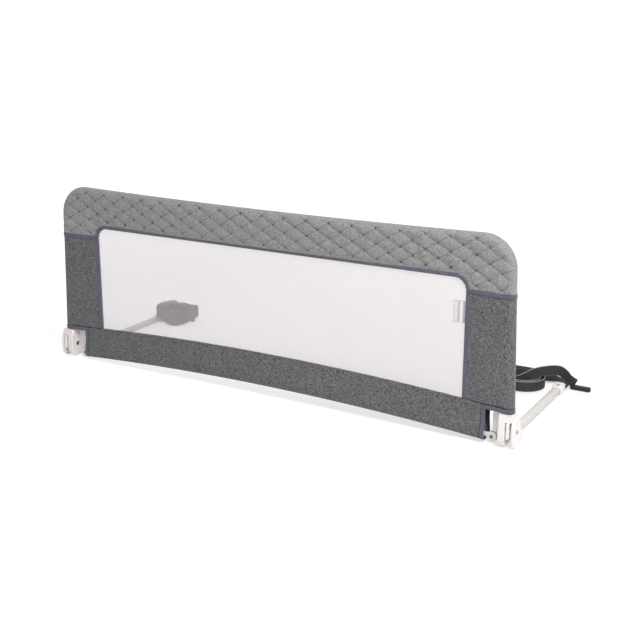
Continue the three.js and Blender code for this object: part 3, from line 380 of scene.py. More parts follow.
WEB_SECTION = WEB_FACE + [(u, -w) for u, w in WEB_FACE[-2:0:-1]]
RIGHT_CENTRE = (-129, -9)
LOOP_RADIUS = 56
LOOP_STRAIGHT = 88
LOOP_PITCH = 9.5
LOOP_TURNS = 2.5
ENTRY_RADIUS = 21.4
RIGHT_TAIL = [
    (-145, -41.1, 13.4), (-110, -40.5, 14), (-88, -38.5, 20), (-71, -33, 30), (-59, -25, 38),
    (-50, -15, 40.3), (-39, 0, 40.5), (-25, 15, 40), (-11, 24.5, 37.5), (3, 25.5, 29.5),
    (13, 22.3, 22), (21, 21, 17.5), (28, 21, 14),
]
LEFT_HEART = [
    (60, 65), (28, 59), (15, 57), (-19, 54), (-61, 54), (-103, 60), (-134, 59), (-172, 59),
    (-208, 60), (-232, 60), (-245, 38), (-270, 52),
]
LEFT_CENTRE = (38, -2)
LEFT_TURNS = 3
LEFT_SHRINK = 0.165
LEFT_ENTRY = [(1, 42), (3, 54), (10, 66), (23, 71), (40, 67), (54, 61)]
LEFT_TAIL = [
    (69, 6, 23.5), (63, -12, 19), (50, -23.5, 15), (34, -24.5, 13.3), (22, -16.5, 13.3),
    (17, -3, 13.3), (21, 10, 13.3), (30, 16.6, 13.3), (42, 17, 13.3),
]


def smooth_line(points, closed=False):
    """A curve through the points, with the corners rounded evenly however far apart they are."""
    count = len(points)
    line = []
    for i in range(count if closed else count - 1):
        p1, p2 = points[i], points[(i + 1) % count]
        p0 = points[i - 1] if closed or i else [2 * a - b for a, b in zip(p1, p2)]
        p3 = points[(i + 2) % count] if closed or i + 2 < count else [2 * a - b for a, b in zip(p2, p1)]
        d0, d1, d2 = (max(sqrt(dist(a, b)), 1e-6) for a, b in ((p0, p1), (p1, p2), (p2, p3)))
        for k in range(CURVE_STEPS):
            t = k / CURVE_STEPS
            at = []
            for a, b, c, d in zip(p0, p1, p2, p3):
                start = (b - a) / d0 - (c - a) / (d0 + d1) + (c - b) / d1
                end = (c - b) / d1 - (d - b) / (d1 + d2) + (d - c) / d2
                start, end = start * d1, end * d1
                bend = (3 * (c - b) - 2 * start - end) * t * t
                at.append(b + start * t + bend + (2 * (b - c) + start + end) * t**3)
            line.append(at)
    line.append(list(points[0] if closed else points[-1]))
    return line


def even_steps(line, count):
    """The line again as count equal steps."""
    reach = [0]
    for a, b in zip(line, line[1:]):
        reach.append(reach[-1] + dist(a, b))
    steps, j = [], 0
    for i in range(count + 1):
        at = reach[-1] * i / count
        while j + 2 < len(reach) and reach[j + 1] < at:
            j += 1
        share = min(max((at - reach[j]) / max(reach[j + 1] - reach[j], 1e-9), 0), 1)
        steps.append([a + (b - a) * share for a, b in zip(line[j], line[j + 1])])
    return steps


def eased(value, start, end):
    """0 before the start and 1 past the end, with a soft step between them."""
    share = min(max((value - start) / (end - start), 0), 1)
    return share * share * (3 - 2 * share)


def right_route():
    """A round way in, turns of a loop with two straight sides, each inside the last, and the tail."""
    centre_x, centre_y = RIGHT_CENTRE
    entry = [(0, 0.3), (0, 12.8)]
    for step in range(5):
        angle = step * pi / 8
        y = centre_y + LOOP_RADIUS - ENTRY_RADIUS + ENTRY_RADIUS * sin(angle)
        entry.append((ENTRY_RADIUS * cos(angle) - ENTRY_RADIUS, y))
    turns = []
    for i in range(int(LOOP_TURNS * TURN_STEPS) + 1):
        radius = LOOP_RADIUS - LOOP_PITCH * i / TURN_STEPS
        half_turn = pi * radius + LOOP_STRAIGHT
        along = (i / TURN_STEPS % 1) * 2 * half_turn
        side = 1
        if along >= half_turn:
            along -= half_turn
            side = -1
        x, y = LOOP_STRAIGHT / 2 - along, radius
        if along > LOOP_STRAIGHT:
            angle = (along - LOOP_STRAIGHT) / radius
            x, y = -LOOP_STRAIGHT / 2 - radius * sin(angle), radius * cos(angle)
        turns.append((centre_x + side * x, centre_y + side * y, ON_EDGE))
    return entry, turns, RIGHT_TAIL


def left_route():
    """The way in, heart shaped turns that shrink inwards and lie over the leg's end, and the tail."""
    outline = [(r * cos(radians(d)), r * sin(radians(d))) for d, r in LEFT_HEART]
    heart = even_steps(smooth_line(outline, closed=True), TURN_STEPS)
    turns = []
    for i in range(LEFT_TURNS * TURN_STEPS + 1):
        scale = 1 - LEFT_SHRINK * i / TURN_STEPS
        x, y = (centre + at * scale for centre, at in zip(LEFT_CENTRE, heart[i % TURN_STEPS]))
        on_leg = eased(-x, *LEG_REACH)
        crossing = eased(y, *CROSS_REACH) * (1 - on_leg)
        turns.append((x, y, ON_EDGE + LEG_LIFT * on_leg + CROSS_LIFT * crossing))
    entry = [(0, 0.3), (0, 12.8), (0, 25.3)] + LEFT_ENTRY
    return entry, turns, LEFT_TAIL


def strap_stations(route, sign):
    """The strap's middle line, with how far it leans over at each point."""
    entry, turns, tail = route
    lift = CROSS_LIFT if sign < 0 else 0
    entry = [(x, y, ON_EDGE + lift * eased(x, 10, 54)) for x, y in entry]
    way_in = even_steps(smooth_line(entry + [turns[0]]), ENTRY_STEPS)
    leans = []
    for i, point in enumerate(way_in):
        leans.append(1 - eased(i / ENTRY_STEPS, 0.35, 1))
        point[2] += (WEB_EXIT_HEIGHT / MM - point[2]) * leans[-1]
    last, before = Vector(turns[-1]), Vector(turns[-2])
    joint = last + (last - before).normalized() * 3
    way_out = even_steps(smooth_line([joint] + tail), TAIL_STEPS)
    points = way_in[:-1] + list(turns) + way_out
    leans = leans[:-1] + [0] * (len(turns) + len(way_out))
    # The joint between the turns and the tail is eased, so the strap doesn't kink there
    joint = len(way_in) - 1 + len(turns)
    for _ in range(EASE_ROUNDS):
        for i in range(joint - EASED_STEPS, joint + EASED_STEPS):
            points[i] = [(a + 2 * b + c) / 4 for a, b, c in zip(*points[i - 1 : i + 2])]
    place = Vector((sign * LEG_CENTRE, LEG_END, 0))
    return [place + Vector(p) * MM for p in points], leans


def band_mesh(name, points, sides, ups, section):
    """A band that carries the section along the points, with its own UV map in metres."""
    shape = bmesh.new()
    uv = shape.loops.layers.uv.new("UVMap")
    around = [0]
    for a, b in zip(section, section[1:] + section[:1]):
        around.append(around[-1] + dist(a, b) * MM)
    rings, reach = [], [0]
    for i, (point, side, up) in enumerate(zip(points, sides, ups)):
        if i:
            reach.append(reach[-1] + (point - points[i - 1]).length)
        rings.append([shape.verts.new(point + up * (u * MM) + side * (w * MM)) for u, w in section])
    for a, (ring, after) in enumerate(zip(rings, rings[1:])):
        for k in range(len(section)):
            n = (k + 1) % len(section)
            face = shape.faces.new((ring[k], ring[n], after[n], after[k]))
            face.smooth = True
            ends = ((a, k), (a, k + 1), (a + 1, k + 1), (a + 1, k))
            for loop, (along, across) in zip(face.loops, ends):
                loop[uv].uv = (reach[along], around[across])
    shape.faces.new(rings[0][::-1])
    shape.faces.new(rings[-1])
    bmesh.ops.recalc_face_normals(shape, faces=shape.faces)
    return finished(name, shape, smooth=False)


def band_places(tree):
    """How far along a band and how far round it a point lies, in metres."""
    place = put(tree, "ShaderNodeUVMap", uv_map="UVMap").outputs["UV"]
    parts = put(tree, "ShaderNodeSeparateXYZ", {0: place}).outputs
    return parts["X"], parts["Y"]


def wave(tree, value, pitch):
    return maths(tree, "SINE", maths(tree, "MULTIPLY", value, 2 * pi / pitch))


def webbing_material():
    material, tree, surface = new_material("black_webbing", roughness=0.75, sheen_weight=0.05, ior=1.3)
    along, across = band_places(tree)
    # Weft ribs cross the strap, and warp yarns run along it and pass over and under them
    rib = wave(tree, along, RIB_PITCH)
    yarn = wave(tree, across, YARN_PITCH)
    slant = maths(tree, "MULTIPLY", along, TWILL_TURNS[0])
    twill = maths(tree, "SINE", maths(tree, "MULTIPLY_ADD", across, TWILL_TURNS[1], slant))
    weave = maths(tree, "ADD", maths(tree, "MULTIPLY", rib, 0.5), maths(tree, "MULTIPLY", yarn, 0.3))
    weave = maths(tree, "MULTIPLY_ADD", twill, 0.25, weave)
    spots = mottled(tree, 60, 1900)
    shade = maths(tree, "MULTIPLY_ADD", weave, 0.22, 0.5, clamp=True)
    shade = maths(tree, "MULTIPLY_ADD", spots["Grain"], 0.35, shade, clamp=True)
    colour = blended(tree, shade, (0.005, 0.005, 0.0055, 1), (0.060, 0.060, 0.062, 1))
    # Light lines along both edges of the strap: painted highlight where its edges catch the light.
    middle = maths(tree, "PINGPONG", across, WEB_WIDTH / 2)
    edge = maths(tree, "SMOOTH_MIN", maths(tree, "MULTIPLY", middle, EDGE_HIGHLIGHT_SHARPNESS), 1.0, 0.2)
    colour = blended(tree, edge, (0.46, 0.46, 0.465, 1), colour)
    dusty = maths(tree, "MULTIPLY", spots["Patches"], 0.22)
    coloured(tree, surface, dusty, colour, (0.05, 0.05, 0.052, 1))
    textured(tree, surface, weave, 0.55, 0.0003)
    return material


black_webbing = webbing_material()
for side, sign, route, length in (("right", 1, right_route(), 1.475), ("left", -1, left_route(), 1.146)):
    points, leans = strap_stations(route, sign)
    sides, ups = [], []
    for i, point in enumerate(points):
        along = (points[min(i + 1, len(points) - 1)] - points[max(i - 1, 0)]).normalized()
        outward = Vector((along.y, -along.x, 0)).normalized()
        raised = outward.cross(along).normalized()
        lean = leans[i] * pi / 2
        up = raised * cos(lean) + outward * sin(lean)
        ups.append(up)
        sides.append(along.cross(up).normalized())
    strap = band_mesh(f"webbing_strap_{side}", points, sides, ups, WEB_SECTION)
    wear(strap, black_webbing)
    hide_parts(f"strap_hank_{side}", f"strap_tail_{side}")
    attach(strap, f"{side}_leg")

# Quilted top band: the top of the sewn sleeve that hangs on the tube frame, of grey melange on thin
# wadding, tufted by hand stitches on a diamond lattice. It swells round the tube, is flat towards
# the window, and creases from tuft to tuft.
PANEL_Y = -174
COVER_HEIGHT = 435.5
TOP_HALF = 579
FOOT_HALF = 590
CORNER_RADIUS = 69
CORNER_X = TOP_HALF - CORNER_RADIUS
CORNER_Z = COVER_HEIGHT - CORNER_RADIUS
TOP_SAG = 6
SLEEVE_RADIUS = 13.5
SLEEVE_ANGLES = (0, 14, 28, 42, 56, 70, 84)
STRAIGHT_SHARE = 0.77
THIN_HALF = 3.5
THINNING = 89.5
WINDOW_HALF = 476
WINDOW_TOP = 338.5
WINDOW_CORNER = 26
TAPE_WIDTH = 8
NOTCH_TOP = 74
BAND_FOOT = 319.3
UNDER_TAPE = 2.5
QUILT_STEP_X = 27.65
QUILT_STEP_Z = 16.4
QUILT_TOP = 11.2
QUILT_SPAN = hypot(1 / QUILT_STEP_X, 1 / QUILT_STEP_Z) / 2
BAND_COLUMNS = 331
BAND_ROWS = 29
PUFF = 1.6
CREASE = 1.35
CREASE_WIDTH = 1.5
CREASE_WANDER = 2.6
DEEPEST_CREASE = 1.6 * CREASE
FAINTEST_CREASE = 0.1
DIMPLE = 1.5
DIMPLE_WIDTH = 3.0
CLOTH_FRAMES = 20
WADDING_PRESSURE = 4
CLOTH_SLACK = 0.02
MELANGE = ((0.45, (175, 560, 850)), (0.4, (850, 560, 200)), (0.15, (700, 700, 700)))
WEAVE_PITCH = 0.0013
FOLD_CORE = 0.012
FOLD_EDGE = 0.046
LINE_SHADE = 0.72
HOLLOW_SHADE = 0.42


def side_half(z):
    """Half the cover's length at a height: it widens slowly below the corners."""
    return TOP_HALF + (FOOT_HALF - TOP_HALF) * min(max((CORNER_Z - z) / (CORNER_Z - NOTCH_TOP), 0), 1)


def top_height(x):
    """The cover's top edge, which sags a little between the corners."""
    return COVER_HEIGHT - TOP_SAG * (1 - min(abs(x) / CORNER_X, 1) ** 2)


def panel_half(inward):
    """Half the cover's thickness at a distance in from its outer edge."""
    if inward < SLEEVE_RADIUS:
        return sqrt(max(SLEEVE_RADIUS**2 - (SLEEVE_RADIUS - inward) ** 2, 0))
    share = min((inward - SLEEVE_RADIUS) / THINNING, 1)
    return SLEEVE_RADIUS + (THIN_HALF - SLEEVE_RADIUS) * share


def inward_step(step, count, width):
    """How far in a grid line lies: at even angles round the tube, then at even steps."""
    if step < len(SLEEVE_ANGLES):
        return SLEEVE_RADIUS * (1 - cos(radians(SLEEVE_ANGLES[step])))
    start = SLEEVE_RADIUS * (1 - cos(radians(SLEEVE_ANGLES[-1])))
    return start + (width - start) * (step - len(SLEEVE_ANGLES) + 1) / (count - len(SLEEVE_ANGLES))


def ripple(x, z, side, width, seed):
    """Slow slack in the cloth, different on its two faces."""
    return noise.noise(Vector((x / width, z / width, seed + 7.3 * side)))


def cloth_slab(name, columns, rows, place):
    """Two faces of cloth joined round their edges: place gives x, depth and height of each point."""
    shape = bmesh.new()
    right, top = columns - 1, rows - 1
    # Points and faces are made in a fixed order, since the cloth step depends on it
    layers = []
    for side in (-1, 1):
        layer = {}
        for j in range(rows):
            for i in range(columns):
                x, depth, z = place(i, j, side)
                layer[i, j] = shape.verts.new(Vector((x, PANEL_Y + depth, z)) * MM)
        for j in range(top):
            for i in range(right):
                corners = ((i, j), (i + 1, j), (i + 1, j + 1), (i, j + 1))
                shape.faces.new([layer[corner] for corner in corners])
        layers.append(layer)
    front, back = layers
    rim = [(i, 0) for i in range(right)] + [(right, j) for j in range(top)]
    rim += [(right - i, top) for i in range(right)] + [(0, top - j) for j in range(top)]
    for at, after in zip(rim, rim[1:] + rim[:1]):
        shape.faces.new((front[at], front[after], back[after], back[at]))
    bmesh.ops.remove_doubles(shape, verts=shape.verts, dist=0.00002)
    bmesh.ops.recalc_face_normals(shape, faces=shape.faces)
    return finished(name, shape)


def band_edge_points(share):
    """Matching points on the band's outer edge and on the window's binding, from -1 to 1."""
    sign, share = (-1, -share) if share < 0 else (1, share)
    inner_corner = WINDOW_CORNER + TAPE_WIDTH - UNDER_TAPE
    inner_x, inner_z = WINDOW_HALF - WINDOW_CORNER, WINDOW_TOP - WINDOW_CORNER
    if share < STRAIGHT_SHARE:
        x = CORNER_X * share / STRAIGHT_SHARE
        outer = (x, top_height(x))
        inner = (inner_x * share / STRAIGHT_SHARE, inner_z + inner_corner)
    else:
        past = (share - STRAIGHT_SHARE) / (1 - STRAIGHT_SHARE)
        arc = CORNER_RADIUS * pi / 2
        run = past * (arc + CORNER_Z - BAND_FOOT + UNDER_TAPE)
        if run < arc:
            angle = run / CORNER_RADIUS
            outer = (CORNER_X + CORNER_RADIUS * sin(angle), CORNER_Z + CORNER_RADIUS * cos(angle))
        else:
            z = CORNER_Z - (run - arc)
            outer = (side_half(z), z)
        last = pi / 2 - asin((BAND_FOOT - UNDER_TAPE - inner_z) / inner_corner)
        inner = (inner_x + inner_corner * sin(last * past), inner_z + inner_corner * cos(last * past))
    return (sign * outer[0], outer[1]), (sign * inner[0], inner[1])


def quilt_place(x, z):
    """Where a point is on the lattice: a tuft lies wherever both numbers are whole."""
    across = x / QUILT_STEP_X
    down = (top_height(x) - z - QUILT_TOP) / QUILT_STEP_Z
    return (across + down) / 2, (across - down) / 2


def tuft_distance(x, z):
    a, b = (value - round(value) for value in quilt_place(x, z))
    return hypot((a + b) * QUILT_STEP_X, (a - b) * QUILT_STEP_Z)


def quilt_puff(x, z):
    """The wadding's swell between the tufts."""
    a, b = quilt_place(x, z)
    return PUFF * (abs(sin(pi * a)) * abs(sin(pi * b))) ** 0.6


def fold_lines(x, z, side):
    """The two families of folds from tuft to tuft: a number that is whole on a fold, and its depth."""
    a, b = quilt_place(x, z)
    lines = []
    for value, other, turn in ((a, b, 1), (b, a, 2)):
        pull = noise.noise(Vector((round(value) * 3.7, int(other // 1) * 2.3, turn + 9 * side)))
        wander = CREASE_WANDER * noise.noise(Vector((x / 15, z / 15, turn + 4 * side)))
        strength = CREASE * (0.62 + 0.25 * x / FOOT_HALF + 0.75 * pull)
        line = value + wander * abs(sin(pi * other)) * QUILT_SPAN
        lines.append((line, max(strength, FAINTEST_CREASE)))
    return lines


def quilt_creases(x, z, side):
    """Folds in the cloth from tuft to tuft, unlike in depth, and the dimple at each tuft."""
    depth = 0
    for line, strength in fold_lines(x, z, side):
        away = abs(line - round(line)) / QUILT_SPAN
        depth += strength * exp(-away / CREASE_WIDTH)
    dimple = DIMPLE * exp(-((tuft_distance(x, z) / DIMPLE_WIDTH) ** 2))
    return -min(depth, DEEPEST_CREASE) - dimple


def band_slack(x, z, side):
    return 0.5 * ripple(x, z, side, 46, 1.0)


def band_place(i, j, side):
    outer, inner = band_edge_points(2 * i / (BAND_COLUMNS - 1) - 1)
    width = dist(outer, inner)
    inward = inward_step(j, BAND_ROWS, width)
    share = inward / width
    x, z = (a + (b - a) * share for a, b in zip(outer, inner))
    relief = quilt_puff(x, z) + band_slack(x, z, side)
    return x, side * (panel_half(inward) + relief * band_free(x, z)), z


def band_inward(x, z):
    """How far a point is in from the band's outer edge."""
    across, up = abs(x) - CORNER_X, z - CORNER_Z
    if across > 0 and up > 0:
        return CORNER_RADIUS - hypot(across, up)
    return min(side_half(z) - abs(x), top_height(x) - z)


def window_distance(x, z):
    """How far a point is from the window's opening."""
    across, up = abs(x) - (WINDOW_HALF - WINDOW_CORNER), z - (WINDOW_TOP - WINDOW_CORNER)
    if across > 0 and up > 0:
        return hypot(across, up) - WINDOW_CORNER
    return max(across, up) - WINDOW_CORNER


def band_free(x, z):
    """How free the cloth is to swell: not at its outer edge nor at the tapes."""
    beside = eased(window_distance(x, z) - TAPE_WIDTH, 0, 7)
    return eased(band_inward(x, z), 1, 9) * beside * eased(z - BAND_FOOT, 0, 7)


def puffed(piece, hold, most):
    """Cloth under a little pressure from its wadding, held at some points, moved no more than most."""
    held = piece.vertex_groups.new(name="held")
    for vert in piece.data.vertices:
        held.add([vert.index], hold(vert.co.x / MM, vert.co.z / MM), "REPLACE")
    cloth = piece.modifiers.new("cloth", "CLOTH")
    rules = cloth.settings
    rules.vertex_group_mass = held.name
    rules.quality = 5
    rules.use_pressure = True
    rules.uniform_pressure_force = WADDING_PRESSURE
    rules.shrink_min = -CLOTH_SLACK
    rules.effector_weights.gravity = 0
    for step in range(1, CLOTH_FRAMES + 1):
        scene.frame_set(step)
    swollen = piece.evaluated_get(bpy.context.evaluated_depsgraph_get()).data
    moves = [after.co - before.co for before, after in zip(piece.data.vertices, swollen.vertices)]
    piece.modifiers.remove(cloth)
    scene.frame_set(1)
    for vert, move in zip(piece.data.vertices, moves):
        vert.co += move * min(1, most * MM / max(move.length, 1e-9))


def finer(piece):
    """One subdivision, made part of the mesh."""
    smoother = piece.modifiers.new("finer_cloth", "SUBSURF")
    smoother.levels = smoother.render_levels = 1
    made = bpy.data.meshes.new_from_object(piece.evaluated_get(bpy.context.evaluated_depsgraph_get()))
    piece.modifiers.clear()
    piece.data = made


quilted = cloth_slab("quilted_top_band", BAND_COLUMNS, BAND_ROWS, band_place)
puffed(quilted, lambda x, z: 1 - band_free(x, z) * eased(tuft_distance(x, z), 1, 4), 1.6)
finer(quilted)
folds = quilted.data.attributes.new("fold", "FLOAT", "POINT")
lines = quilted.data.attributes.new("fold_lines", "FLOAT_VECTOR", "POINT")
for vert in quilted.data.vertices:
    x, y, z = vert.co / MM
    side = 1 if y > PANEL_Y else -1
    free = band_free(x, z)
    depth = quilt_creases(x, z, side) * free
    vert.co.y += side * depth * MM
    folds.data[vert.index].value = min(-depth / (CREASE + DIMPLE), 1)
    lines.data[vert.index].vector = [line for line, strength in fold_lines(x, z, side)] + [free]


def melange_group():
    """Yarn of mixed light and dark fibres, woven plain: slubs along both yarns, and the weave."""
    group, given, made = new_group(
        "melange", [("Dark", "Color"), ("Light", "Color"), ("Contrast", "Float")],
        [("Color", "Color"), ("Height", "Float")],
    )
    place = object_place(group)
    mixed = 0.0
    for weight, scale in MELANGE:
        turned = put(group, "ShaderNodeMapping", {"Vector": place, "Scale": scale}).outputs[0]
        slubs = put(group, "ShaderNodeTexNoise", {"Vector": turned, "Scale": 1.0, "Detail": 2.0})
        mixed = maths(group, "MULTIPLY_ADD", slubs.outputs["Fac"], weight, mixed)
    centred = maths(group, "SUBTRACT", mixed, 0.5)
    share = maths(group, "MULTIPLY_ADD", centred, given.outputs["Contrast"], 0.5, clamp=True)
    colour = blended(group, share, given.outputs["Dark"], given.outputs["Light"])
    group.links.new(colour, made.inputs["Color"])
    parts = put(group, "ShaderNodeSeparateXYZ", {0: place}).outputs
    warp, weft = (wave(group, parts[axis], WEAVE_PITCH) for axis in ("X", "Z"))
    woven = maths(group, "MULTIPLY", warp, weft)
    group.links.new(maths(group, "MULTIPLY_ADD", woven, 0.35, mixed), made.inputs["Height"])
    return group


melange = melange_group()


def melange_yarn(tree, dark, light, contrast):
    values = {"Dark": dark, "Light": light, "Contrast": contrast}
    return put(tree, "ShaderNodeGroup", values, node_tree=melange).outputs


def fold_shadow(tree):
    """Shade in the quilting's folds, sharp and thin along the middle of each and faint in places."""
    place = put(tree, "ShaderNodeAttribute", attribute_name="fold_lines").outputs["Vector"]
    parts = put(tree, "ShaderNodeSeparateXYZ", {0: place}).outputs
    drawn = 0.0
    for axis, scale in (("X", 41.0), ("Y", 57.0)):
        away = maths(tree, "PINGPONG", parts[axis], 0.5)
        thin = map_range(tree, away, FOLD_CORE, FOLD_EDGE, 1.0, 0.0)
        patches = {"Vector": object_place(tree), "Scale": scale, "Detail": 1.0}
        patchy = put(tree, "ShaderNodeTexNoise", patches).outputs["Fac"]
        strength = map_range(tree, patchy, 0.36, 0.62, 0.25, 1.0)
        drawn = maths(tree, "MAXIMUM", drawn, maths(tree, "MULTIPLY", thin, strength))
    drawn = maths(tree, "MULTIPLY", drawn, parts["Z"])
    fold = put(tree, "ShaderNodeAttribute", attribute_name="fold").outputs["Fac"]
    hollow = maths(tree, "MULTIPLY", fold, HOLLOW_SHADE)
    return maths(tree, "MAXIMUM", hollow, maths(tree, "MULTIPLY", drawn, LINE_SHADE), clamp=True)


def cloth_material(name, dark, light, contrast, depth, shadow=None):
    material, tree, surface = new_material(name, roughness=0.88, sheen_weight=0.25, sheen_roughness=0.5)
    yarn = melange_yarn(tree, dark, light, contrast)
    colour = blended(tree, shadow(tree), yarn["Color"], dark) if shadow else yarn["Color"]
    tree.links.new(colour, surface.inputs["Base Color"])
    textured(tree, surface, yarn["Height"], depth, 0.0005)
    return material


quilted_melange = cloth_material(
    "quilted_melange", (0.135, 0.135, 0.137, 1), (0.41, 0.41, 0.414, 1),
    contrast=3.2, depth=0.5, shadow=fold_shadow,
)
wear(quilted, quilted_melange)
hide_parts("cover_top_quilted")
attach(quilted, "rail")

# Tufts: a short upright bar of dark thread through the wadding where the diagonals cross, with its
# twin on the back of the band. The bars are drawn wider and darker than thread alone, so that they
# also stand for the shade in the dimple round each tuft: partly painted shade.
TUFT_SIZE = (2.3, 3.2, 8.4)
TUFT_ROOM = 2.5
TUFT_PROUD = 0.8
TUFT_LEAN = 0.12
TUFT_COLUMNS = range(-21, 22)
TUFT_ROWS = range(8)


def stitch(shape, place, lean, size):
    """One short bar of thread, turned in the plane of the cover."""
    scale = Matrix.Diagonal([length * MM / 2 for length in size] + [1])
    matrix = Matrix.Translation(Vector(place) * MM) @ Matrix.Rotation(lean, 4, "Y") @ scale
    bmesh.ops.create_icosphere(shape, subdivisions=1, radius=1, matrix=matrix)


shape = bmesh.new()
for step in TUFT_COLUMNS:
    for row in TUFT_ROWS:
        x = step * QUILT_STEP_X
        z = top_height(x) - QUILT_TOP - row * QUILT_STEP_Z
        inward = band_inward(x, z)
        near_window = window_distance(x, z) < TAPE_WIDTH + TUFT_ROOM
        if (step + row) % 2 or inward < 2 * TUFT_ROOM or z < BAND_FOOT + TUFT_ROOM or near_window:
            continue
        for side in (-1, 1):
            lean = TUFT_LEAN * noise.noise(Vector((x, z, side)))
            relief = quilt_creases(x, z, side) + band_slack(x, z, side)
            half = panel_half(inward) + relief * band_free(x, z) + TUFT_PROUD
            stitch(shape, (x, PANEL_Y + side * half, z), lean, TUFT_SIZE)
tufts = finished("tuft_stitches", shape)
# Near black: the thread's own dark and the painted shade of the dimple round each tuft.
tuft_thread_and_painted_shade, tree, surface = new_material("tuft_thread_and_painted_shade", roughness=0.75)
spots = mottled(tree, 90, 2600)
coloured(tree, surface, spots["Grain"], (0.005, 0.005, 0.006, 1), (0.022, 0.022, 0.025, 1))
textured(tree, surface, spots["Grain"], 0.8, 0.0002)
wear(tufts, tuft_thread_and_painted_shade)
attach(tufts, "rail")

# Sides and foot: plain dark melange, sewn to the quilted band under a tape. The sides are pulled
# tight over the frame, and the foot is a loose sleeve that bows up between the hinges.
WINDOW_BOTTOM = 82.5
BOW = 18
BOW_HALF = 522
TUBE_HEIGHT = 16
TUBE_HALF = 13.2
FOOT_BOTTOM = 5
FOOT_COLUMNS = 210
FOOT_HEIGHTS = [5, 5.3, 6.2, 7.7, 9.8, 12.6, 16, 20, 24.5] + [29 + 5 * k for k in range(11)] + [81.5, 82.2]
FOOT_CLOSING = {len(FOOT_HEIGHTS) - 2: 0.86, len(FOOT_HEIGHTS) - 1: 0.4}
FOOT_TOP = 84
PULL_START = 26
PULL_REACH = (455, 505)
SEAM_Z = 314.5
SEAM_WIDTH = 9
SEAM_LOW = SEAM_Z - SEAM_WIDTH / 2
SIDE_ROWS = 60
SIDE_STEPS = 24
LOOSEST = 0.96


def bottom_rise(x):
    """How far the foot is bowed up."""
    return BOW * (1 - min(abs(x) / BOW_HALF, 1) ** 2)


def sleeve_half(x, height):
    """Half the thickness of the foot's sleeve, at a height above its straight base line."""
    if height < TUBE_HEIGHT:
        return TUBE_HALF * sqrt(max(1 - ((TUBE_HEIGHT - height) / (TUBE_HEIGHT - FOOT_BOTTOM)) ** 2, 0))
    share = (height - TUBE_HEIGHT) / (WINDOW_BOTTOM - TUBE_HEIGHT)
    loose = THIN_HALF + (TUBE_HALF - THIN_HALF) * (1 + cos(pi * share)) / 2
    beside = panel_half(side_half(WINDOW_BOTTOM) - abs(x))
    pull = eased(height, PULL_START, WINDOW_BOTTOM) * eased(abs(x), *PULL_REACH)
    return loose + (beside - loose) * pull


def side_place(sign):
    """A side panel, from the notch's tape up to the seam and from the outer edge in to the window."""
    def place(i, j, side):
        share = j / (SIDE_ROWS - 1)
        low = WINDOW_BOTTOM + 0.4
        high = SEAM_LOW + UNDER_TAPE
        outer = side_half(low + (high - low) * share)
        inward = inward_step(i, SIDE_STEPS, outer - (WINDOW_HALF + TAPE_WIDTH - UNDER_TAPE))
        x = outer - inward
        z = low + bottom_rise(x) * (1 - share) + (high - low) * share
        slack = ripple(x, z, side, 42, 3.0 * sign) + 0.3 * ripple(x, z, side, 15, 9.0)
        beside = eased(window_distance(x, z) - TAPE_WIDTH, 0, 9)
        free = eased(inward, 0, 14) * beside * eased(SEAM_LOW - z, 0, 9)
        return sign * x, side * (panel_half(inward) + slack * free), z
    return place


def side_hold(x, z):
    edge = min(side_half(z) - abs(x), abs(x) - WINDOW_HALF - TAPE_WIDTH, SEAM_LOW - z)
    return 1 - LOOSEST * eased(min(edge, z - WINDOW_BOTTOM), 0, 16)


plain_melange = cloth_material(
    "dark_melange", (0.027, 0.027, 0.029, 1), (0.203, 0.202, 0.210, 1), contrast=5.3, depth=0.6
)
for side, sign in (("left", -1), ("right", 1)):
    piece = cloth_slab(f"side_cover_{side}", SIDE_STEPS, SIDE_ROWS, side_place(sign))
    puffed(piece, side_hold, 1.2)
    finer(piece)
    wear(piece, plain_melange)
    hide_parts(f"cover_side_{side}")
    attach(piece, "rail")


def foot_place(i, j, side):
    x = BOW_HALF * (2 * i / (FOOT_COLUMNS - 1) - 1)
    height = FOOT_HEIGHTS[j]
    half = sleeve_half(x, height) * FOOT_CLOSING.get(j, 1)
    slack = eased(height, FOOT_BOTTOM, 18) * eased(FOOT_TOP - height, 0, 12)
    broad, fine = ripple(x * 0.45, height, side, 40, 21.0), ripple(x, height, side, 14, 33.0)
    half += slack * (1.1 * broad + 0.35 * fine)
    return x, side * half, height + bottom_rise(x)


def foot_hold(x, z):
    edge = min(z - bottom_rise(x), WINDOW_BOTTOM + bottom_rise(x) - z, BOW_HALF - abs(x))
    return 1 - LOOSEST * eased(edge, 3, 16)


foot = cloth_slab("foot_cover", FOOT_COLUMNS, len(FOOT_HEIGHTS), foot_place)
puffed(foot, foot_hold, 1.4)
finer(foot)
wear(foot, plain_melange)
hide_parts("cover_bottom")
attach(foot, "rail")

# Tapes: a blue grey twill tape folded over the cut edges. One runs round the window and one covers
# the seam under the quilted band on each side.
TAPE_PROUD = 0.7
TAPE_LAP = 2.2
TAPE_PITCHES = (0.0016, 0.0012)
SEAM_HALF = 0.55
SEAM_OUT = 0.5
SEAM_INNER = 483
SEAM_STEPS = 21
SEAM_ANGLES = (75, 60, 45, 30, 15, 0)
LINE_STEP = 4.0
CORNER_STEPS = 12
PUCKER = 0.24
PUCKER_STRAIGHT = 0.12
PUCKER_TURN = 2.4


def rounded_section(half_u, half_w, radius, steps):
    """A rectangle with round corners, as points across and out from a band's middle."""
    section = []
    for corner_u, corner_w, start in (
        (half_u - radius, half_w - radius, 0), (radius - half_u, half_w - radius, 90),
        (radius - half_u, radius - half_w, 180), (half_u - radius, radius - half_w, 270),
    ):
        for step in range(steps + 1):
            angle = radians(start + 90 * step / steps)
            section.append((corner_u + radius * cos(angle), corner_w + radius * sin(angle)))
    return section


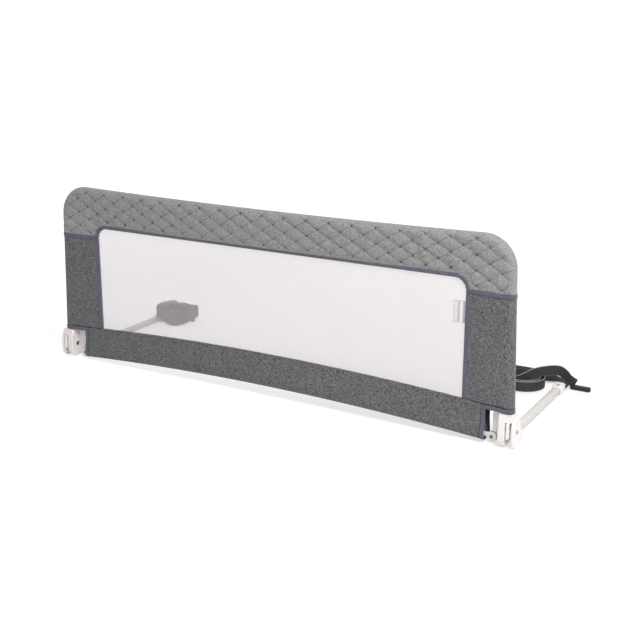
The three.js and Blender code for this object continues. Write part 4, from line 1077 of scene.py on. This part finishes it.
def tape_material():
    material, tree, surface = new_material(
        "blue_grey_tape", roughness=0.7, sheen_weight=0.3, sheen_roughness=0.4
    )
    places = zip(band_places(tree), TAPE_PITCHES)
    along, across = (maths(tree, "MULTIPLY", place, 2 * pi / pitch) for place, pitch in places)
    ridge = maths(tree, "SINE", maths(tree, "ADD", along, across))
    share = maths(tree, "MULTIPLY_ADD", ridge, 0.18, 0.1)
    share = maths(tree, "MULTIPLY_ADD", mottled(tree, 55, 1500)["Patches"], 0.75, share, clamp=True)
    coloured(tree, surface, share, (0.058, 0.055, 0.081, 1), (0.162, 0.155, 0.210, 1))
    textured(tree, surface, ridge, 0.5, 0.0003)
    return material


twill_tape = tape_material()
depth_axis, rise_axis = Vector((0, 1, 0)), Vector((0, 0, 1))


def window_line(offset):
    """Points and outward directions along the window's inverted U, at an offset from its edge."""
    radius = WINDOW_CORNER + offset
    centre_x, centre_z = WINDOW_HALF - WINDOW_CORNER, WINDOW_TOP - WINDOW_CORNER
    low = WINDOW_BOTTOM + bottom_rise(WINDOW_HALF + TAPE_WIDTH / 2) + 0.3
    across, drops = int(centre_x / LINE_STEP), int((centre_z - low) / LINE_STEP)
    half = [(centre_x * k / across, centre_z + radius, 0.0) for k in range(across + 1)]
    for k in range(1, CORNER_STEPS + 1):
        angle = pi / 2 * k / CORNER_STEPS
        half.append((centre_x + radius * sin(angle), centre_z + radius * cos(angle), angle))
    for k in range(1, drops + 1):
        half.append((centre_x + radius, centre_z - (centre_z - low) * k / drops, pi / 2))
    mirrored = [(-x, z, -angle) for x, z, angle in half[:0:-1]]
    return mirrored + half


line = window_line((TAPE_WIDTH + TAPE_LAP) / 2)
points = [Vector((x, PANEL_Y, z)) * MM for x, z, angle in line]
swell, wide = [], []
for i, (x, z, angle) in enumerate(line):
    # The tape puckers in the round corners, and hardly along the straights
    pucker = PUCKER * (1 if 0.05 < abs(angle) < 1.52 else PUCKER_STRAIGHT)
    swell.append(depth_axis * (1 + pucker * sin(PUCKER_TURN * i)))
    wide.append(Vector((sin(angle), 0, cos(angle))) * (1 + pucker / 2 * sin(PUCKER_TURN * i + 0.8)))
section = rounded_section((TAPE_WIDTH + TAPE_LAP) / 2, THIN_HALF + TAPE_PROUD, radius=2.6, steps=4)
binding = band_mesh("window_binding_tape", points, swell, wide, section)
wear(binding, twill_tape)
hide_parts("window_binding")
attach(binding, "rail")

section = rounded_section(SEAM_WIDTH / 2, SEAM_HALF, radius=0.45, steps=2)
for side, sign in (("left", -1), ("right", 1)):
    outer = side_half(SEAM_Z)
    flat = outer - SLEEVE_RADIUS - SEAM_INNER
    insets = [SLEEVE_RADIUS + flat * (1 - k / SEAM_STEPS) for k in range(SEAM_STEPS + 1)]
    insets += [SLEEVE_RADIUS * (1 - cos(radians(angle))) for angle in SEAM_ANGLES]
    front = [(outer - inset, -panel_half(inset)) for inset in insets]
    loop = front + [(x, -y) for x, y in front[-2::-1]]
    points, sides = [], []
    for i, (x, y) in enumerate(loop):
        before, after = loop[max(i - 1, 0)], loop[min(i + 1, len(loop) - 1)]
        out = Vector((after[1] - before[1], before[0] - after[0], 0)).normalized()
        if out.y * y < 0 or (abs(y) < 0.01 and out.x < 0):
            out = -out
        place = Vector((x, y, 0)) + out * SEAM_OUT
        points.append(Vector((sign * place.x, PANEL_Y + place.y, SEAM_Z)) * MM)
        sides.append(Vector((sign * out.x, out.y, 0)))
    tape = band_mesh(f"seam_tape_{side}_folded", points, sides, [rise_axis] * len(points), section)
    wear(tape, twill_tape)
    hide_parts(f"seam_tape_{side}")
    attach(tape, "rail")

# Notches: over each hinge the sleeve is cut away and its edge is taped, down the foot's end and
# across under the side. The foot's open end is hollowed, and its back layer runs on as a lining;
# both are near black, painted shade for the dark inside of the sleeve.
NOTCH_HALF = 530
NOTCH_INNER = 521.5
NOTCH_OVERLAP = 526
NOTCH_OUT = 0.4
NOTCH_STEPS = 14
NOTCH_ROWS = 5
DOWN_COLUMNS = 4
MOUTH_START = 8
MOUTH_SHARE = 0.75
MOUTH_DEPTH = 6.5
MOUTH_LIP = 1.1
LINING_REACH = 7.5
LINING_FOOT = 12
LINING_ROWS = 13
LINING_BACK = 2.2
NOTCH_HEIGHTS = [5, 5.4, 6.6, 8.6, 11.8, 16, 21, 27, 34, 42, 50, 58, 66, 72, 76, 79, 81, 82.5]


def notch_down(sign):
    """The tape round the foot's end, a little thinner at its open mouth."""
    def place(i, j, side):
        x = NOTCH_INNER + (NOTCH_HALF - NOTCH_INNER) * i / (DOWN_COLUMNS - 1)
        height = NOTCH_HEIGHTS[j]
        mouth = i == DOWN_COLUMNS - 1 and height > MOUTH_START
        half = (sleeve_half(x, height) + TAPE_PROUD) * (MOUTH_SHARE if mouth else 1)
        return sign * x, side * half, height + bottom_rise(x)
    return place


def notch_across(sign):
    """The tape under the side panel, from the foot's end out round the tube."""
    def place(i, j, side):
        z = NOTCH_TOP + (WINDOW_BOTTOM - NOTCH_TOP) * j / (NOTCH_ROWS - 1)
        outer = side_half(z)
        inward = inward_step(i, NOTCH_STEPS, outer - NOTCH_OVERLAP)
        half = panel_half(inward) + (TAPE_PROUD / 2 if j in (0, NOTCH_ROWS - 1) else TAPE_PROUD)
        return sign * (outer + NOTCH_OUT - inward), side * half, z
    return place


def open_mouth(piece, sign):
    """The sleeve's end towards the hinge, hollowed, with its walls in the near black lining: painted shade.
    """
    shape = bmesh.new()
    shape.from_mesh(piece.data)
    far = max(sign * v.co.x for v in shape.verts)
    ends = [f for f in shape.faces if all(sign * v.co.x > far - 0.1 * MM for v in f.verts)]
    bmesh.ops.inset_region(
        shape, faces=ends, thickness=MOUTH_LIP * MM, use_even_offset=True, use_boundary=True
    )
    for vert in {v for f in ends for v in f.verts}:
        vert.co.x -= sign * MOUTH_DEPTH * MM
    # The hollow's walls wear the near black lining: painted shade inside the mouth.
    walls = {f for face in ends for edge in face.edges for f in edge.link_faces}
    for face in walls:
        face.material_index = 1
        face.smooth = False
    shape.to_mesh(piece.data)
    shape.free()


def lining_place(sign):
    """The sleeve's back layer, which runs on past the tape behind the tube."""
    def place(i, j, side):
        x = NOTCH_HALF - 2 + LINING_REACH * i / (DOWN_COLUMNS - 1)
        height = LINING_FOOT + (NOTCH_TOP - LINING_FOOT) * j / (LINING_ROWS - 1)
        return sign * x, sleeve_half(x, height) - LINING_BACK + 0.4 * side, height + bottom_rise(x)
    return place


# Near black cloth for the lining and the mouth's walls: painted shade for the sleeve's dark inside.
lining_in_painted_shade, tree, surface = new_material("lining_in_painted_shade", roughness=0.95)
yarn = melange_yarn(tree, (0.006, 0.006, 0.007, 1), (0.03, 0.03, 0.032, 1), 3.0)
tree.links.new(yarn["Color"], surface.inputs["Base Color"])
for side, sign in (("left", -1), ("right", 1)):
    lining = cloth_slab(f"sleeve_lining_in_painted_shade_{side}", DOWN_COLUMNS, LINING_ROWS, lining_place(sign))
    wear(lining, lining_in_painted_shade)
    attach(lining, "rail")
    down = cloth_slab(f"notch_tape_down_{side}", DOWN_COLUMNS, len(NOTCH_HEIGHTS), notch_down(sign))
    open_mouth(down, sign)
    across = cloth_slab(f"notch_tape_across_{side}", NOTCH_STEPS, NOTCH_ROWS, notch_across(sign))
    for piece in (down, across):
        uv = piece.data.uv_layers.new(name="UVMap")
        for loop in piece.data.loops:
            at = piece.data.vertices[loop.vertex_index].co
            uv.data[loop.index].uv = (at.z, at.x) if piece is down else (at.x, at.z)
        wear(piece, twill_tape)
        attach(piece, "rail")
    down.data.materials.append(lining_in_painted_shade)
    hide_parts(f"notch_tape_{side}")

# Stitches: rows of grey thread that hold the tapes down, along the window, the side seams, the
# notches and the folded lower edge of the window, on both faces of the cover.
STITCH_PITCH = 4.2
STITCH_SIZE = (2.9, 0.55, 0.62)
STITCH_INSET = 2.2
ROW_INSET = 3
SEAM_ROWS = (SEAM_Z - 3, SEAM_Z + 3)
SEAM_LIFT = 1.05
ACROSS_ROWS = (NOTCH_TOP + 1.7, WINDOW_BOTTOM - 1.5)
DOWN_STOPS = (18, 40, 60, 72)
HEM_DROP = 4
HEM_STEP = 14
HEM_LIFT = 0.3


def stitch_row(shape, route, lift):
    """Short stitches along a route of x and z places, on both faces of the cover."""
    count = max(1, round(sum(map(dist, route, route[1:])) / STITCH_PITCH))
    steps = even_steps(route, count)
    for (x0, z0), (x1, z1) in zip(steps, steps[1:]):
        x, z = (x0 + x1) / 2, (z0 + z1) / 2
        for face in (-1, 1):
            place = (x, PANEL_Y + face * lift(x, z), z)
            stitch(shape, place, atan2(z0 - z1, x1 - x0), STITCH_SIZE)


shape = bmesh.new()
for offset in (STITCH_INSET, TAPE_WIDTH + TAPE_LAP - STITCH_INSET):
    stitch_row(shape, [(x, z) for x, z, angle in window_line(offset)], lambda x, z: THIN_HALF + TAPE_PROUD)
for sign in (-1, 1):
    for z in SEAM_ROWS:
        row = [(sign * x, z) for x in (WINDOW_HALF + TAPE_WIDTH + 1, side_half(SEAM_Z) - ROW_INSET)]
        stitch_row(shape, row, lambda x, z: panel_half(side_half(z) - abs(x)) + SEAM_LIFT)
    for z in ACROSS_ROWS:
        row = [(sign * x, z) for x in (BOW_HALF + 5, side_half(z) - ROW_INSET)]
        stitch_row(shape, row, lambda x, z: panel_half(side_half(z) - abs(x)) + TAPE_PROUD)
    row = [(sign * (BOW_HALF + 5.5), z) for z in DOWN_STOPS]
    stitch_row(shape, row, lambda x, z: sleeve_half(abs(x), z - bottom_rise(x)) + TAPE_PROUD)
hem = range(-WINDOW_HALF, WINDOW_HALF + 1, HEM_STEP)
hem = [(x, WINDOW_BOTTOM - HEM_DROP + bottom_rise(x)) for x in hem]
stitch_row(shape, hem, lambda x, z: sleeve_half(x, z - bottom_rise(x)) + HEM_LIFT)
stitches = finished("tape_stitches", shape)
grey_thread, tree, surface = new_material("grey_thread", roughness=0.7)
thread_spots = mottled(tree, 120, 3000)["Patches"]
coloured(tree, surface, thread_spots, (0.045, 0.043, 0.06, 1), (0.11, 0.105, 0.14, 1))
wear(stitches, grey_thread)
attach(stitches, "rail")

# Window: a fine knitted net, stretched in the opening and caught under the tapes. Its holes are
# about a millimetre wide, so it reads as a pale veil.
NET_PITCH = 0.0023
NET_WAVES = ((1, 0.577), (1, -0.577), (0, 1.154))
NET_SWAY = 1.6
NET_COLUMNS = 96
NET_ROWS = 28
NET_CAUGHT = 2
NET_CAUGHT_LOW = 3

shape = bmesh.new()
bmesh.ops.create_grid(shape, x_segments=NET_COLUMNS, y_segments=NET_ROWS, size=0.5)
for vert in shape.verts:
    x = 2 * vert.co.x * (WINDOW_HALF + NET_CAUGHT)
    low = WINDOW_BOTTOM + bottom_rise(x) - NET_CAUGHT_LOW
    z = low + (WINDOW_TOP + NET_CAUGHT - low) * (vert.co.y + 0.5)
    inside = eased(WINDOW_HALF - abs(x), 0, 60) * eased(z - low, 0, 50) * eased(WINDOW_TOP - z, 0, 50)
    sway = NET_SWAY * inside * noise.noise(Vector((x / 130, z / 130, 5)))
    vert.co = Vector((x, PANEL_Y + sway, z)) * MM
bmesh.ops.recalc_face_normals(shape, faces=shape.faces)
net = finished("net_window", shape)
pale_net, tree, surface = new_material("pale_net", roughness=0.85, sheen_weight=0.1)
parts = put(tree, "ShaderNodeSeparateXYZ", {0: object_place(tree)}).outputs
turns = 2 * pi / NET_PITCH
# Three sets of waves 60 degrees apart leave round holes in a row pattern, as in a knitted net
hole = 0.0
for x_part, z_part in NET_WAVES:
    at = maths(tree, "MULTIPLY", parts["X"], turns * x_part)
    at = maths(tree, "MULTIPLY_ADD", parts["Z"], turns * z_part, at)
    hole = maths(tree, "ADD", maths(tree, "COSINE", at), hole)
cover = maths(tree, "MULTIPLY_ADD", hole, -1.4, 0.05, clamp=True)
tree.links.new(cover, surface.inputs["Alpha"])
net_spots = mottled(tree, 9, 900)["Patches"]
coloured(tree, surface, net_spots, (0.655, 0.58, 0.60, 1), (0.595, 0.54, 0.555, 1))
wear(net, pale_net)
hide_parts("mesh_window")
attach(net, "rail")

# Tag: a small folded film sewn in at the window's right edge, clear, darker at its left edge, with
# violet bands down its middle and at its right, and more opaque along its top and bottom. It carries
# nothing.
TAG_LEFT = 448.7
TAG_RIGHT = 475.7
TAG_MIDDLE = 267.5
TAG_HALF = 23
TAG_RIM = 2.2
RIM_COVER = 0.35
TAG_BANDS = (
    (0.0, (0.22, 0.20, 0.24, 0.45)), (0.07, (0.50, 0.47, 0.50, 0.14)), (0.36, (0.45, 0.43, 0.48, 0.16)),
    (0.44, (0.14, 0.14, 0.28, 0.75)), (0.54, (0.70, 0.70, 0.80, 0.05)), (0.72, (0.80, 0.80, 0.86, 0.0)),
    (0.82, (0.16, 0.16, 0.30, 0.6)), (1.0, (0.30, 0.30, 0.42, 0.5)),
)

clear_film, tree, surface = new_material("clear_film", roughness=0.25, coat_weight=0.3)
parts = put(tree, "ShaderNodeSeparateXYZ", {0: object_place(tree)}).outputs
across = map_range(tree, parts["X"], TAG_LEFT * MM, TAG_RIGHT * MM, 0.0, 1.0)
bands = put(tree, "ShaderNodeValToRGB", {0: across})
for place, colour in TAG_BANDS[2:]:
    bands.color_ramp.elements.new(place)
for element, (place, colour) in zip(bands.color_ramp.elements, TAG_BANDS):
    element.position = place
    element.color = colour
tree.links.new(bands.outputs["Color"], surface.inputs["Base Color"])
rise = maths(tree, "ABSOLUTE", maths(tree, "SUBTRACT", maths(tree, "DIVIDE", parts["Z"], MM), TAG_MIDDLE))
rim = maths(tree, "MULTIPLY", maths(tree, "GREATER_THAN", rise, TAG_HALF - TAG_RIM), RIM_COVER)
tree.links.new(maths(tree, "MAXIMUM", bands.outputs["Alpha"], rim), surface.inputs["Alpha"])
textured(tree, surface, mottled(tree, 70, 900)["Patches"], 0.4, 0.001)
tag = softened("blank_tag", 0)
wear(tag, clear_film)
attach(tag, "rail")

size = {"cad": [list(map(float, corner)) for corner in cad_box]}
size["visual"] = [list(map(float, corner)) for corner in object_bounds()]
